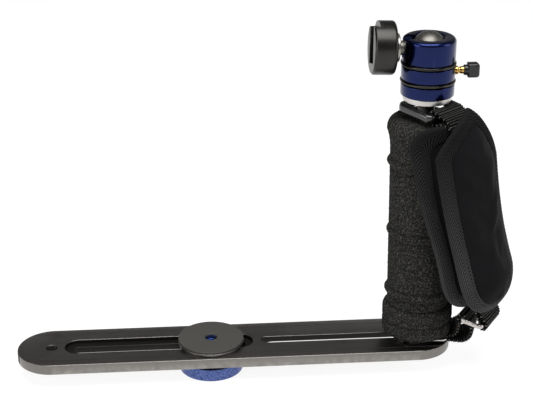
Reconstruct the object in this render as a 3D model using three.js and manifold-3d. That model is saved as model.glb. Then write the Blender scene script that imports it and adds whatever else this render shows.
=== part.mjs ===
// Camera bracket grip: a slotted rail with a sliding camera seat, an upright foam handle that
// carries a padded hand strap, and a small ball head with an accessory shoe on top.
// Millimetres, +Z up. The origin is the middle of the camera knob's flat underside, and the
// rail runs along +X towards the handle.
import * as THREE from 'three';
import { mergeVertices } from 'three/addons/utils/BufferGeometryUtils.js';
import Module from 'manifold-3d';

const wasm = await Module();
wasm.setup();

const degree = Math.PI / 180;

// Fits shared by all pieces
const seatGap = 0.3;
const cutOverrun = 1;
const boreClearance = 0.3;

// Counts of sides: round pieces, small round pieces, and arcs of the rail
const roundSides = 34;
const foamSides = 32;
const smallSides = 20;
const ballSides = 28;
const ballSteps = 11;
const arcSteps = 8;

// Camera screw and its knob, washer, disc and rubber facing
const knobRadius = 18.6;
const knobHeight = 7.6;
const knobEdge = 0.8;
const knobSocketDepth = 5;
const screwRadius = 3.1;
const screwTipRise = 0.3;
const screwTipEdge = 1.2;
const knobWasherRadius = 13;
const knobWasherThickness = 1.6;
const discRadius = 19;
const discThickness = 1.5;
const discEdge = 0.4;
const facingRadius = 18.8;
const facingThickness = 1.2;
const guideThickness = 1.9;
const guideRadius = 7.7;

// Rail
const railLength = 251.4;
const railWidth = 41.6;
const railThickness = 6.2;
const railEdge = 0.4;
const railBeyondHandle = 19.3;
const handleDistance = 120.5;
const endHoleRadius = 3;
const endHoleFromEnd = 19.6;
const slotWidth = 6.8;
const recessWidth = 16;
const recessDepth = 2.2;
const recessFromEnd = 27;
const recessBeyondCamera = 24.4;
const slotBridge = 4.5;
const handleSlotBeyondHandle = 3.5;
const counterboreWidth = 16;
const counterboreDepth = 3.2;
const grooveOffset = 15.6;
const grooveWidth = 0.6;
const grooveDepth = 0.35;

// Handle's fixing below and its core
const headRadius = 7.2;
const headThickness = 1.8;
const headInset = 0.1;
const hexSocketRadius = 2.9;
const hexSocketDepth = 1.2;
const shankRadius = 3;
const shankLength = 24;
const handleWasherThickness = 0.7;
const bossRadius = 4.8;
const plugLength = 16;
const plugBoreDepth = 19.7;
const tubeRadius = 13;
const tubeBore = 10;
const tubeInset = 0.4;
const topPlugLength = 20;
const neckRadius = 4.6;
const neckHeight = 9.4;
const studRadius = 3;
const studLength = 28;
const studIntoHead = 2.8;

// Foam sleeve: a flange below, three raised rings, and a flare at the top
const foamLength = 132;
const foamWallClearance = 0.3;
const flareRadius = 21.2;
const flangeInset = 1;
const flangeRadius = flareRadius - flangeInset;
const flangeHeight = 18;
const flangeBottomEdge = 2.2;
const flangeTopEdge = 4;
const flangeTopEdgeTurn = 67 * degree;
const creaseRadius = 17.4;
const gripRadiusLow = 17.7;
const gripRadiusHigh = 19;
const beadHeightShares = [0.2015, 0.481, 0.799];
const beadRadii = [19.5, 19.4, 20.5];
const beadHalfHeight = 2.6;
const flareHeight = 7.2;
const flareLength = 13;
const flareEdge = 7;

// Strap hardware and webbing
const webbingWidth = 21;
const webbingThickness = 0.8;
const webbingGap = 0.3;
const webbingArchRoom = 2.2;
const webbingEdgeRoom = 0.3;
const lowerRingThickness = 1.5;
const lowerRingBack = 8.6;
const lowerRingReach = 17;
const lowerRingHalfWidth = 13.5;
const lowerRingEndBar = 3.4;
const lowerRingSideBar = 2.5;
const lowerRingCorner = 4.4;
const upperRingBack = 9.3;
const upperRingReach = 15.2;
const upperRingHalfWidth = 15;
const upperRingBar = 3.8;
const upperRingHeight = 5;
const upperRingEdge = 1;
const upperRingCorner = 4.2;
const upperRingInnerCorner = 1.2;
const upperRingTilt = 7.5 * degree;
const upperRingAboveFoam = 5.3;
const linkLength = 15;
const linkHalfWidth = 13.2;
const linkWire = 2.2;
const linkEdge = 0.6;
const linkCorner = 3.4;
const linkInnerCorner = 0.8;
const linkBeyondFoam = 14.8;
const linkReach = flareRadius + linkBeyondFoam;
const linkHeight = 15.6;
const linkSlope = 9 * degree;

// Directions of the strap, seen from above
const strapAzimuth = -50 * degree;
const linkAzimuth = -23 * degree;
const linkTurn = -33 * degree;
const ringAzimuth = 0;

// Hand pads: a thick outer one, a thin inner one, each with a woven binding round its edge
const padHalfWidth = 26;
// The pads' round ends: the power of each curve, and its reach as a share of the half width
const outerPadEnds = { topPower: 1.18, topStretch: 1.16, bottomPower: 1.93, bottomStretch: 1.02 };
const innerPadEnds = { topPower: 3.05, topStretch: 0.93, bottomPower: 2.5, bottomStretch: 0.86 };
const bindingWidth = 7.5;
const bindingGap = 0.3;
const bindingHalfThickness = 1.8;
const padBeyondLink = 9;
const padStandOff = linkBeyondFoam + padBeyondLink;
const padDrift = 0.12;
const padTwist = 5 * degree;
const outerPadSkews = [13.5 * degree, 2.2 * degree];
const innerPadSkews = [11.5 * degree, 5.6 * degree];
const twistTopShare = 0.15;
const twistBottomShare = 0.75;
const outerPadAboveFoam = 11.9;
const outerPadAboveLink = 8.5;
const outerPadInside = 2.4;
const outerPadCrown = 5.2;
const outerPadRim = 1.5;
const innerPadAboveFoam = 0;
const innerPadAboveLink = 7.9;
const innerPadInside = 2.1;
const innerPadCrown = 2.6;
const innerPadRim = 1.4;
// Each point of a pad's centre line: how far it stands off the foam as a share of padStandOff, and
// its share of the drop
const outerPadLineShares = [[0.302, 0], [0.43, 0.041], [0.5, 0.117], [0.538, 0.231], [0.636, 0.405],
  [0.796, 0.583], [0.965, 0.718], [1.097, 0.828], [1.045, 0.921], [0.834, 1]];
const innerPadLineShares = [[0.078, 0], [0.13, 0.053], [0.141, 0.129], [0.117, 0.225], [0.089, 0.359],
  [0.194, 0.56], [0.369, 0.713], [0.468, 0.837], [0.472, 0.923], [0.345, 1]];
// How far a pad's side edges lie behind its centre: share of the drop, share of the half width
const outerPadArchShares = [[0, 0.27], [1, 0.28]];
const innerPadArchShares = [[0, 0.6], [0.13, 0.62], [0.28, 0.46], [0.42, 0.36], [0.6, 0.25], [1, 0.2]];

// The pads' crown across their width, as places and a power, and the steps round their outline
const padReachShares = [0, 0.35, 0.65, 0.88, 1];
const padCrownPower = 2.4;
const slopeStepShare = 0.02;
const padStraightSteps = 14;
const padEndSteps = 10;

// A webbing bend round a bar: a leg, the turn and the other leg, as shares of the bar with its gap
const bendShares = [[-1, -1], [-1, 0.35], [-0.72, 0.9], [0, 1.06], [0.72, 0.9], [1, 0.35], [1, -1]];

// Upper webbing: where it meets the gap between the pads and where it ends in it, below the
// foam's top, and its way from the ring's bar, as shares of the way to the meeting place
const upperWebbingLevelShare = 0.06;
const upperWebbingEndShare = 0.19;
const upperWebbingUnderShares = [[0.95, 0, 0.5], [0.77, 0, 0.22], [0.54, 0, 0.17], [0.3, 0, 0.21]];
const upperWebbingOverShares = [[0.28, 0, -0.15], [0.52, 0, -0.07], [0.76, 0, 0.12], [0.94, 0, 0.44]];

// Lower webbing: its ways between the bars and the pads, as shares of the way
const loopOverShares = [[0.45, 0.14, 0.115], [0.66, 0.38, 0.31], [0.79, 0.66, 0.605], [0.845, 0.906, 0.845]];
const loopUnderShares = [[-0.26, -0.03, 0.235], [-0.34, 0.08, 0.475], [-0.24, 0.27, 0.77], [0.07, 0.53, 0.99],
  [0.45, 0.81, 1.067]];
const lowerWebbingSideShift = 4;
const lowerWebbingEndShare = 0.85;
const lowerWebbingLastShare = 0.95;
const tailInnerShares = [[0.4, 0.4, 0.45], [0.62, 0.85, 0.8]];
const tailOuterShares = [[0.3, 0.3, 0.35], [0.8, 0.62, 0.65]];

// Ball head, from its base upwards
const ballRadius = 9.5;
const shellWall = 4.9;
const headBodyRadius = ballRadius + boreClearance + shellWall;
const bandProud = 0.5;
const headBandRadius = headBodyRadius + bandProud;
const headBaseInset = 1.4;
const headBaseRadius = headBodyRadius - headBaseInset;
const headBaseThickness = 2.9;
const headEdge = 0.5;
const collarHeight = 6.6;
const lowerBandHeight = 2;
const housingHeight = 7.2;
const housingFloor = 0.5;
const spigotInset = 4;
const spigotRadius = headBodyRadius - spigotInset;
const pushPlugInset = 1.5;
const pushPlugRadius = ballRadius - pushPlugInset;
const upperBandHeight = 2.1;
const shellHeight = 13.1;
const shellEdge = 2.3;
const shellMouthInset = 1.4;
const shellMouth = ballRadius - shellMouthInset;
const ballAboveShellBottom = 6.5;
const cupRadius = ballRadius;
const cupHeight = 4.1;
const cupClearance = 0.5;
const notchHalfWidth = 4.7;
const lockHeightShare = 0.5;
const lockScrewRadius = 2.1;
const lockScrewTipEdge = 0.8;
const lockNotchDepth = 2.6;
const lockCollarRadius = 2.4;
const lockCollarLength = 1.2;
const lockKnobStandOff = 4.7;
const lockKnobStart = headBodyRadius + lockKnobStandOff;
const lockKnobLength = 8.7;
const lockKnobDepth = 6;
const lockKnobHeight = 8;
const lockKnobEdge = 0.9;
const lockKnobCorner = 1.6;
const lockHubRadius = 3;
const lockHubLength = 2;
const lockSocketDepth = 4;

// Stem and accessory shoe, measured from the ball's centre along the stem
const stemRestTilt = 2 * degree;
const stemNeckRadius = 3.95;
const stemNeckLength = 16.6;
const stemStudRadius = 2.9;
const stemStudLength = 7.4;
const flangeDiscRadius = 7.8;
const flangeDiscThickness = 1.8;
const shoeRadius = 14.7;
const shoeThickness = 12.5;
const shoeBackEdge = 1.8;
const shoeRimEdge = 0.9;
const shoeLipThickness = 1.3;
const shoeChannelDepth = 1.9;
const shoeChannelWidth = 18.7;
const shoeMouthWidth = 12.6;
const shoeChannelEnd = 10;
const shoeLipCut = 11.2;
const shoeTurn = 14 * degree;
const shoeStudDepth = 5.3;
const shoeScrewRadius = 3.8;
const shoeScrewHead = 1.6;
const shoeScrewInset = 0.2;
const shoeScrewShank = 1.5;
const shoeScrewShankLength = 1.8;

// Levels of the stack over the rail, worked out from the sizes above
const railBottom = knobHeight + seatGap + knobWasherThickness + seatGap;
const railTop = railBottom + railThickness;
const discBottom = railTop + seatGap;
const facingBottom = discBottom + discThickness + seatGap;
const facingTop = facingBottom + facingThickness;
const lowerRingBottom = railTop + webbingThickness + 2 * webbingGap;
const lowerRingTop = lowerRingBottom + lowerRingThickness;
const foamBottom = lowerRingTop + webbingThickness + 2 * webbingGap;
const foamTop = foamBottom + foamLength;
const neckTop = foamTop + neckHeight;
const headBaseBottom = neckTop + seatGap;
const collarBottom = headBaseBottom + headBaseThickness + seatGap;
const lowerBandBottom = collarBottom + collarHeight + seatGap;
const housingBottom = lowerBandBottom + lowerBandHeight + seatGap;
const upperBandBottom = housingBottom + housingHeight + seatGap;
const shellBottom = upperBandBottom + upperBandHeight + seatGap;
const ballHeight = shellBottom + ballAboveShellBottom;
const linkLevel = lowerRingTop + linkHeight;
const outerPadTop = foamTop + outerPadAboveFoam;
const outerPadDrop = outerPadTop - linkLevel - outerPadAboveLink;
const innerPadTop = foamTop + innerPadAboveFoam;
const innerPadDrop = innerPadTop - linkLevel - innerPadAboveLink;

// Finishes
const finish = (color, roughness, metalness) =>
  new THREE.MeshStandardMaterial({ color, roughness, metalness, flatShading: true });
const blackMetal = () => finish(0x1b1b1d, 0.45, 0.7);
const blueMetal = () => finish(0x14287a, 0.3, 0.9);
const paleBlueMetal = () => finish(0x6f86b8, 0.5, 0.8);
const steel = () => finish(0xb9b9b4, 0.3, 1);
const brass = () => finish(0xb08d3c, 0.35, 1);
const rubber = () => finish(0x101010, 0.85, 0);
const foam = () => finish(0x35363a, 0.95, 0);
const neoprene = () => finish(0x3c3d42, 0.85, 0);
const wovenBinding = () => finish(0x55555a, 0.9, 0);
const webbing = () => finish(0x222326, 0.8, 0);
const glossyPlastic = () => finish(0x0b0b0c, 0.2, 0);

// Welds the vertices of a shape and drops the triangles that collapse at an axis or a seam
function weld(geometry) {
  geometry.deleteAttribute('normal');
  geometry.deleteAttribute('uv');
  const merged = mergeVertices(geometry);
  const kept = [];
  const corners = merged.index.array;
  for (let i = 0; i < corners.length; i += 3) {
    const [a, b, c] = corners.slice(i, i + 3);
    if (a !== b && b !== c && c !== a) kept.push(a, b, c);
  }
  merged.setIndex(kept);
  return merged;
}

// Shape to boolean solid, and back
function solidOf(geometry) {
  const welded = weld(geometry);
  return new wasm.Manifold(new wasm.Mesh({
    numProp: 3,
    vertProperties: Float32Array.from(welded.attributes.position.array),
    triVerts: Uint32Array.from(welded.index.array),
  }));
}

function geometryOf(solid) {
  const mesh = solid.getMesh();
  const geometry = new THREE.BufferGeometry();
  geometry.setAttribute('position', new THREE.BufferAttribute(mesh.vertProperties, 3));
  geometry.setIndex(new THREE.BufferAttribute(mesh.triVerts, 1));
  return geometry;
}

function add(parent, name, geometry, material) {
  const mesh = new THREE.Mesh(geometry, material);
  mesh.name = name;
  parent.add(mesh);
  return mesh;
}

// A turned shape round Z: its outline runs as [radius, height] up the outside and down the inside
function turned(outline, sides = roundSides) {
  const points = outline.map(([radius, height]) => new THREE.Vector2(radius, height));
  return weld(new THREE.LatheGeometry(points, sides).rotateX(Math.PI / 2));
}

// A washer or sleeve with small chamfers on its outer edges
function sleeve(outer, inner, bottom, height, edge = 0, sides = roundSides) {
  const top = bottom + height;
  const square = [[outer, bottom], [outer, top]];
  const inset = outer - edge;
  const chamfered = [[inset, bottom], [outer, bottom + edge], [outer, top - edge], [inset, top]];
  const outside = edge > 0 ? chamfered : square;
  return turned([[inner, bottom], ...outside, [inner, top], [inner, bottom]], sides);
}

function arcPoints(centreRadius, centreHeight, radius, from, to, steps) {
  return Array.from({ length: steps + 1 }, (unused, i) => {
    const angle = from + (to - from) * i / steps;
    return [centreRadius + radius * Math.cos(angle), centreHeight + radius * Math.sin(angle)];
  });
}

// A flat outline with round ends, between two places along X
function stadium(from, to, halfWidth, ShapeClass = THREE.Shape) {
  const shape = new ShapeClass();
  shape.absarc(to - halfWidth, 0, halfWidth, -Math.PI / 2, Math.PI / 2);
  shape.absarc(from + halfWidth, 0, halfWidth, Math.PI / 2, 3 * Math.PI / 2);
  shape.closePath();
  return shape;
}

function roundedRectangle(left, right, halfWidth, corner, ShapeClass = THREE.Shape) {
  const shape = new ShapeClass();
  shape.absarc(right - corner, -halfWidth + corner, corner, -Math.PI / 2, 0);
  shape.absarc(right - corner, halfWidth - corner, corner, 0, Math.PI / 2);
  shape.absarc(left + corner, halfWidth - corner, corner, Math.PI / 2, Math.PI);
  shape.absarc(left + corner, -halfWidth + corner, corner, Math.PI, 3 * Math.PI / 2);
  shape.closePath();
  return shape;
}

// A flat shape given a height above a level, with a small bevel round all its edges
function raised(shape, bottom, height, edge = 0, curveSegments = arcSteps, bevelSegments = 1) {
  const bevel = { bevelEnabled: edge > 0, bevelThickness: edge, bevelSize: edge, bevelOffset: -edge };
  const options = { depth: height - 2 * edge, curveSegments, bevelSegments, steps: 1, ...bevel };
  return new THREE.ExtrudeGeometry(shape, options).translate(0, 0, bottom + edge);
}

function block(x, y, z) {
  const geometry = new THREE.BoxGeometry(x[1] - x[0], y[1] - y[0], z[1] - z[0]);
  return geometry.translate((x[0] + x[1]) / 2, (y[0] + y[1]) / 2, (z[0] + z[1]) / 2);
}

// Value of a table of [place, value] pairs at a place, straight between its entries
function tableValue(table, place) {
  const last = table.length - 1;
  if (place <= table[0][0]) return table[0][1];
  for (let i = 0; i < last; i += 1) {
    const [start, low] = table[i];
    const [end, high] = table[i + 1];
    if (place <= end) return low + (high - low) * (place - start) / (end - start);
  }
  return table[last][1];
}

const outwardAt = (azimuth) => new THREE.Vector3(Math.cos(azimuth), Math.sin(azimuth), 0);
const acrossAt = (azimuth) => new THREE.Vector3(-Math.sin(azimuth), Math.cos(azimuth), 0);

// Webbing: a flat band along a curve, whose width turns with the azimuth given at each point
function band(points, azimuths, steps, closed = false) {
  const curve = new THREE.CatmullRomCurve3(points, closed);
  const spans = closed ? points.length : points.length - 1;
  const rings = closed ? steps : steps + 1;
  const corners = [[-1, -1], [1, -1], [1, 1], [-1, 1]];
  const positions = [];
  for (let i = 0; i < rings; i += 1) {
    const place = i / steps;
    const index = Math.floor(place * spans);
    const share = place * spans - index;
    const start = azimuths[index % azimuths.length];
    const end = azimuths[(index + 1) % azimuths.length];
    const across = acrossAt(start + (share > 0 ? (end - start) * share : 0));
    const centre = curve.getPoint(place);
    const normal = curve.getTangent(place).cross(across).normalize();
    for (const [side, face] of corners) {
      const corner = centre.clone().addScaledVector(across, side * webbingWidth / 2);
      corner.addScaledVector(normal, face * webbingThickness / 2);
      positions.push(corner.x, corner.y, corner.z);
    }
  }
  return loft(positions, rings, corners.length, closed);
}

// Joins rings of vertices into one closed surface, with flat ends if the rings don't close up
function loft(positions, rings, sides, closed) {
  const triangles = [];
  const quad = (a, b, c, d) => triangles.push(a, b, c, a, c, d);
  const spans = closed ? rings : rings - 1;
  for (let i = 0; i < spans; i += 1) {
    const here = i * sides;
    const next = ((i + 1) % rings) * sides;
    for (let j = 0; j < sides; j += 1) {
      const k = (j + 1) % sides;
      quad(here + j, next + j, next + k, here + k);
    }
  }
  if (!closed) {
    const end = (rings - 1) * sides;
    for (let j = 1; j < sides - 1; j += 1) {
      triangles.push(0, j, j + 1);
      triangles.push(end, end + j + 1, end + j);
    }
  }
  const geometry = new THREE.BufferGeometry();
  geometry.setAttribute('position', new THREE.Float32BufferAttribute(positions, 3));
  geometry.setIndex(triangles);
  return outwardFacing(weld(geometry));
}

// Turns a closed surface right side out
function outwardFacing(geometry) {
  const corners = geometry.index.array;
  const point = (i) => new THREE.Vector3().fromBufferAttribute(geometry.attributes.position, corners[i]);
  let volume = 0;
  for (let i = 0; i < corners.length; i += 3) volume += point(i).dot(point(i + 1).cross(point(i + 2)));
  if (volume > 0) return geometry;
  for (let i = 0; i < corners.length; i += 3) {
    [corners[i + 1], corners[i + 2]] = [corners[i + 2], corners[i + 1]];
  }
  return geometry;
}

// Rail: two slots in line, the camera's recessed from above, the handle's from below
function rail() {
  const left = handleDistance + railBeyondHandle - railLength;
  const right = left + railLength;
  const outline = stadium(left, right, railWidth / 2);
  const recessStart = left + recessFromEnd;
  const recessEnd = recessBeyondCamera;
  const margin = (recessWidth - slotWidth) / 2;
  const handleSlotEnd = handleDistance + handleSlotBeyondHandle;
  const handleSlotStart = recessEnd + slotBridge;
  const endHole = new THREE.Path();
  endHole.absarc(left + endHoleFromEnd, 0, endHoleRadius, 0, 2 * Math.PI);
  outline.holes.push(
    endHole,
    stadium(recessStart + margin, recessEnd - margin, slotWidth / 2, THREE.Path),
    stadium(handleSlotStart, handleSlotEnd, slotWidth / 2, THREE.Path),
  );
  let solid = solidOf(raised(outline, railBottom, railThickness, railEdge));
  const recess = stadium(recessStart, recessEnd, recessWidth / 2);
  solid = solid.subtract(solidOf(raised(recess, railTop - recessDepth, recessDepth + cutOverrun)));
  const counterEnd = handleSlotEnd + (counterboreWidth - slotWidth) / 2;
  const counterbore = stadium(handleSlotStart, counterEnd, counterboreWidth / 2);
  solid = solid.subtract(solidOf(
    raised(counterbore, railBottom - cutOverrun, counterboreDepth + cutOverrun)));
  for (const side of [-1, 1]) {
    const y = [side * grooveOffset - grooveWidth / 2, side * grooveOffset + grooveWidth / 2];
    const z = [railTop - grooveDepth, railTop + cutOverrun];
    solid = solid.subtract(solidOf(block([left - cutOverrun, right + cutOverrun], y, z)));
  }
  return geometryOf(solid);
}

// Camera group: everything that slides in the front slot, round the camera screw
function cameraGroup() {
  const group = new THREE.Group();
  const bore = screwRadius + boreClearance;
  const socketFloor = knobHeight - knobSocketDepth;
  add(group, 'camera_knob', turned([[0, 0], [knobRadius - knobEdge, 0], [knobRadius, knobEdge],
    [knobRadius, knobHeight - knobEdge], [knobRadius - knobEdge, knobHeight], [bore, knobHeight],
    [bore, socketFloor], [0, socketFloor]]), paleBlueMetal());
  const tip = facingTop + screwTipRise;
  const shoulder = tip - screwTipEdge;
  add(group, 'camera_screw', turned([[0, socketFloor + seatGap], [screwRadius, socketFloor + seatGap],
    ...arcPoints(screwRadius - screwTipEdge, shoulder, screwTipEdge, 0, Math.PI / 2, 3), [0, tip]],
  smallSides), paleBlueMetal());
  add(group, 'knob_washer', sleeve(knobWasherRadius, bore, knobHeight + seatGap, knobWasherThickness),
    rubber());
  add(group, 'slot_guide', sleeve(guideRadius, bore, discBottom - seatGap - guideThickness, guideThickness,
    0, smallSides), blackMetal());
  add(group, 'camera_disc', sleeve(discRadius, bore, discBottom, discThickness, discEdge), blackMetal());
  add(group, 'disc_facing', sleeve(facingRadius, bore, facingBottom, facingThickness), rubber());
  return group;
}

// Outline of the foam sleeve, from its bore out, up its side and back in at the top
function foamOutline() {
  const bore = tubeRadius + foamWallClearance;
  const flangeTop = foamBottom + flangeHeight;
  const flareStart = foamTop - flareHeight - flareLength;
  const gripRadius = (height) => gripRadiusLow
    + (gripRadiusHigh - gripRadiusLow) * (height - flangeTop) / (flareStart - flangeTop);
  const side = [];
  beadHeightShares.forEach((share, i) => {
    const crest = foamBottom + share * foamLength;
    for (const step of [-1, -0.5, 0, 0.5, 1]) {
      const height = crest + step * beadHalfHeight;
      const swell = (1 + Math.cos(step * Math.PI)) / 2;
      side.push([gripRadius(height) + (beadRadii[i] - gripRadius(crest)) * swell, height]);
    }
  });
  const flare = [0, 0.35, 0.7, 1].map((share) => [
    gripRadiusHigh + (flareRadius - gripRadiusHigh) * share ** 2, flareStart + share * flareLength]);
  return [
    [bore, foamBottom],
    ...arcPoints(flangeRadius - flangeBottomEdge, foamBottom + flangeBottomEdge, flangeBottomEdge,
      -Math.PI / 2, 0, 3),
    ...arcPoints(flangeRadius - flangeTopEdge, flangeTop - flangeTopEdge, flangeTopEdge, 0,
      flangeTopEdgeTurn, 3),
    [creaseRadius, flangeTop],
    [gripRadiusLow, flangeTop + seatGap],
    ...side,
    ...flare,
    ...arcPoints(flareRadius - flareEdge, foamTop - flareEdge, flareEdge, 0, Math.PI / 2, 6),
    [bore, foamTop],
    [bore, foamBottom],
  ];
}

// Handle group, on the handle's axis: fixing screw, plugged core tube and foam sleeve
function handleGroup() {
  const group = new THREE.Group();
  const shankBore = shankRadius + boreClearance;
  const screwBottom = railBottom + headInset;
  const screwTop = screwBottom + headThickness;
  const shankTop = screwTop + shankLength;
  const screw = solidOf(turned([[0, screwBottom], [headRadius, screwBottom], [headRadius, screwTop],
    [shankRadius, screwTop], [shankRadius, shankTop], [0, shankTop]], smallSides));
  const hexagon = new THREE.CylinderGeometry(hexSocketRadius, hexSocketRadius, hexSocketDepth + cutOverrun, 6)
    .rotateX(Math.PI / 2).translate(0, 0, screwBottom + (hexSocketDepth - cutOverrun) / 2);
  add(group, 'handle_screw', geometryOf(screw.subtract(solidOf(hexagon))), steel());
  add(group, 'handle_washer', sleeve(headRadius, shankBore, screwTop + seatGap, handleWasherThickness, 0,
    smallSides), steel());

  const tubeBottom = foamBottom + tubeInset;
  const tubeTop = foamTop - tubeInset;
  const plugRadius = tubeBore - boreClearance;
  const plugTop = tubeBottom + plugLength;
  const plugBottom = railTop + seatGap;
  const plugBoreTop = plugBottom + plugBoreDepth;
  add(group, 'bottom_plug', turned([[shankBore, plugBottom], [bossRadius, plugBottom],
    [bossRadius, tubeBottom], [plugRadius, tubeBottom], [plugRadius, plugTop], [0, plugTop],
    [0, plugBoreTop], [shankBore, plugBoreTop], [shankBore, plugBottom]], smallSides), steel());
  add(group, 'core_tube', sleeve(tubeRadius, tubeBore, tubeBottom, tubeTop - tubeBottom, 0, smallSides),
    steel());
  const studTop = collarBottom + studIntoHead;
  const studBottom = studTop - studLength;
  const plugFloor = tubeTop - topPlugLength;
  add(group, 'top_plug', turned([[0, plugFloor], [plugRadius, plugFloor], [plugRadius, tubeTop],
    [neckRadius, tubeTop], [neckRadius, neckTop], [studRadius + boreClearance, neckTop],
    [studRadius + boreClearance, studBottom - seatGap], [0, studBottom - seatGap]], smallSides), steel());
  add(group, 'head_stud', turned([[0, studBottom], [studRadius, studBottom], [studRadius, studTop],
    [0, studTop]], smallSides), steel());
  add(group, 'foam_grip', turned(foamOutline(), foamSides), foam());
  add(group, 'head_base', sleeve(headBaseRadius, studRadius + boreClearance, headBaseBottom,
    headBaseThickness), steel());
  return group;
}

// A pad's centre line, and its surface at a length along the line and a place across it
function padSurface(lineShares, archShares, top, drop, skews, ends) {
  const points = lineShares.map(([out, down]) =>
    new THREE.Vector3(flareRadius + out * padStandOff, 0, top - down * drop));
  const line = new THREE.CatmullRomCurve3(points);
  const length = line.getLength();
  const point = (along, across) => {
    const centre = line.getPointAt(Math.min(Math.max(along / length, 0), 1));
    const down = (top - centre.z) / drop;
    const twistShare = (down - twistTopShare) / (twistBottomShare - twistTopShare);
    const twist = padTwist * THREE.MathUtils.smoothstep(twistShare, 0, 1);
    const side = across / padHalfWidth;
    const back = tableValue(archShares, down) * padHalfWidth * side * side;
    const outward = outwardAt(twist);
    const place = centre.clone().addScaledVector(acrossAt(twist), across).addScaledVector(outward, -back);
    place.y += padDrift * (foamTop - centre.z);
    place.z -= across * Math.tan(skews[0] + (skews[1] - skews[0]) * down);
    return place;
  };
  const step = padHalfWidth * slopeStepShare;
  const frame = (along, across) => {
    const place = point(along, across);
    const rise = point(along - step, across).sub(point(along + step, across));
    const run = point(along, across + step).sub(point(along, across - step));
    return { place, normal: run.cross(rise).normalize() };
  };
  return { length, frame, ends };
}

// Stations round a pad's outline: the nearest place on its middle line, and the way out from it
function padStations({ length, ends }, straightSteps, endSteps) {
  const stations = [];
  const near = padHalfWidth * ends.topStretch;
  const far = length - padHalfWidth * ends.bottomStretch;
  for (const [from, to, side, power, stretch] of [[far, near, 1, ends.bottomPower, ends.bottomStretch],
    [near, far, -1, ends.topPower, ends.topStretch]]) {
    for (let i = 0; i < endSteps; i += 1) {
      const angle = Math.PI * i / endSteps;
      const [ahead, beside] = [Math.sin(angle), Math.cos(angle)].map((value) =>
        side * Math.sign(value) * Math.abs(value) ** (2 / power));
      stations.push({ along: from, out: [ahead * stretch, beside] });
    }
    for (let i = 0; i < straightSteps; i += 1) {
      stations.push({ along: from + (to - from) * i / straightSteps, out: [0, -side] });
    }
  }
  return stations;
}

// One vertex of a pad: a station, how far out from the middle line, and how high off the surface
function padVertex(surface, station, reach, height) {
  const { place, normal } = surface.frame(station.along + reach * station.out[0], reach * station.out[1]);
  return place.addScaledVector(normal, height);
}

// The cushion inside the binding: crowned faces that draw in to a thin rim
function padCore(surface, inside, crown, rim) {
  const stations = padStations(surface, padStraightSteps, padEndSteps);
  const full = padHalfWidth - bindingWidth - bindingGap;
  const height = (share, most) => rim + (most - rim) * (1 - share ** padCrownPower);
  const outside = padReachShares.map((share) => [full * share, height(share, crown)]);
  const inner = [...padReachShares].reverse().map((share) => [full * share, -height(share, inside)]);
  const section = [...outside, ...inner];
  const positions = [];
  for (const station of stations) {
    for (const [reach, off] of section) positions.push(...padVertex(surface, station, reach, off).toArray());
  }
  return openLoft(positions, stations.length, section.length);
}

// Rings that start and end on a shared middle line: joined side by side and round the loop only
function openLoft(positions, rings, sides) {
  const triangles = [];
  for (let i = 0; i < rings; i += 1) {
    const here = i * sides;
    const next = ((i + 1) % rings) * sides;
    for (let j = 0; j < sides - 1; j += 1) {
      triangles.push(here + j, next + j, next + j + 1, here + j, next + j + 1, here + j + 1);
    }
  }
  const geometry = new THREE.BufferGeometry();
  geometry.setAttribute('position', new THREE.Float32BufferAttribute(positions, 3));
  geometry.setIndex(triangles);
  return outwardFacing(weld(geometry));
}

// The woven binding: a rounded band all round the pad's edge
function padBinding(surface) {
  const stations = padStations(surface, padStraightSteps, padEndSteps);
  const half = bindingHalfThickness;
  const inner = padHalfWidth - bindingWidth;
  const shoulder = padHalfWidth - half;
  const section = [[inner, -half], [shoulder, -half], [padHalfWidth, 0], [shoulder, half], [inner, half]];
  const positions = [];
  for (const station of stations) {
    for (const [reach, off] of section) positions.push(...padVertex(surface, station, reach, off).toArray());
  }
  return loft(positions, stations.length, section.length, true);
}

const outerPad = padSurface(outerPadLineShares, outerPadArchShares, outerPadTop, outerPadDrop, outerPadSkews,
  outerPadEnds);
const innerPad = padSurface(innerPadLineShares, innerPadArchShares, innerPadTop, innerPadDrop, innerPadSkews,
  innerPadEnds);

// Points of a webbing bend round a bar: up a leg on one side, over the given way, and down again
function bendRound(centre, forward, over, barForward, barOver) {
  const offset = webbingGap + webbingThickness / 2;
  const reach = barForward + offset;
  const rise = barOver + offset;
  return bendShares.map(([f, o]) =>
    centre.clone().addScaledVector(forward, f * reach).addScaledVector(over, o * rise));
}

// Points between two places, each as its share of the way along X, Y and Z
function spread(from, to, shares) {
  return shares.map(([x, y, z]) => new THREE.Vector3(
    from.x + (to.x - from.x) * x, from.y + (to.y - from.y) * y, from.z + (to.z - from.z) * z));
}

function ringLoop(outline, hole, height, edge) {
  outline.holes.push(hole);
  return weld(raised(outline, -height / 2, height, edge, 4, 1));
}

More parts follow.
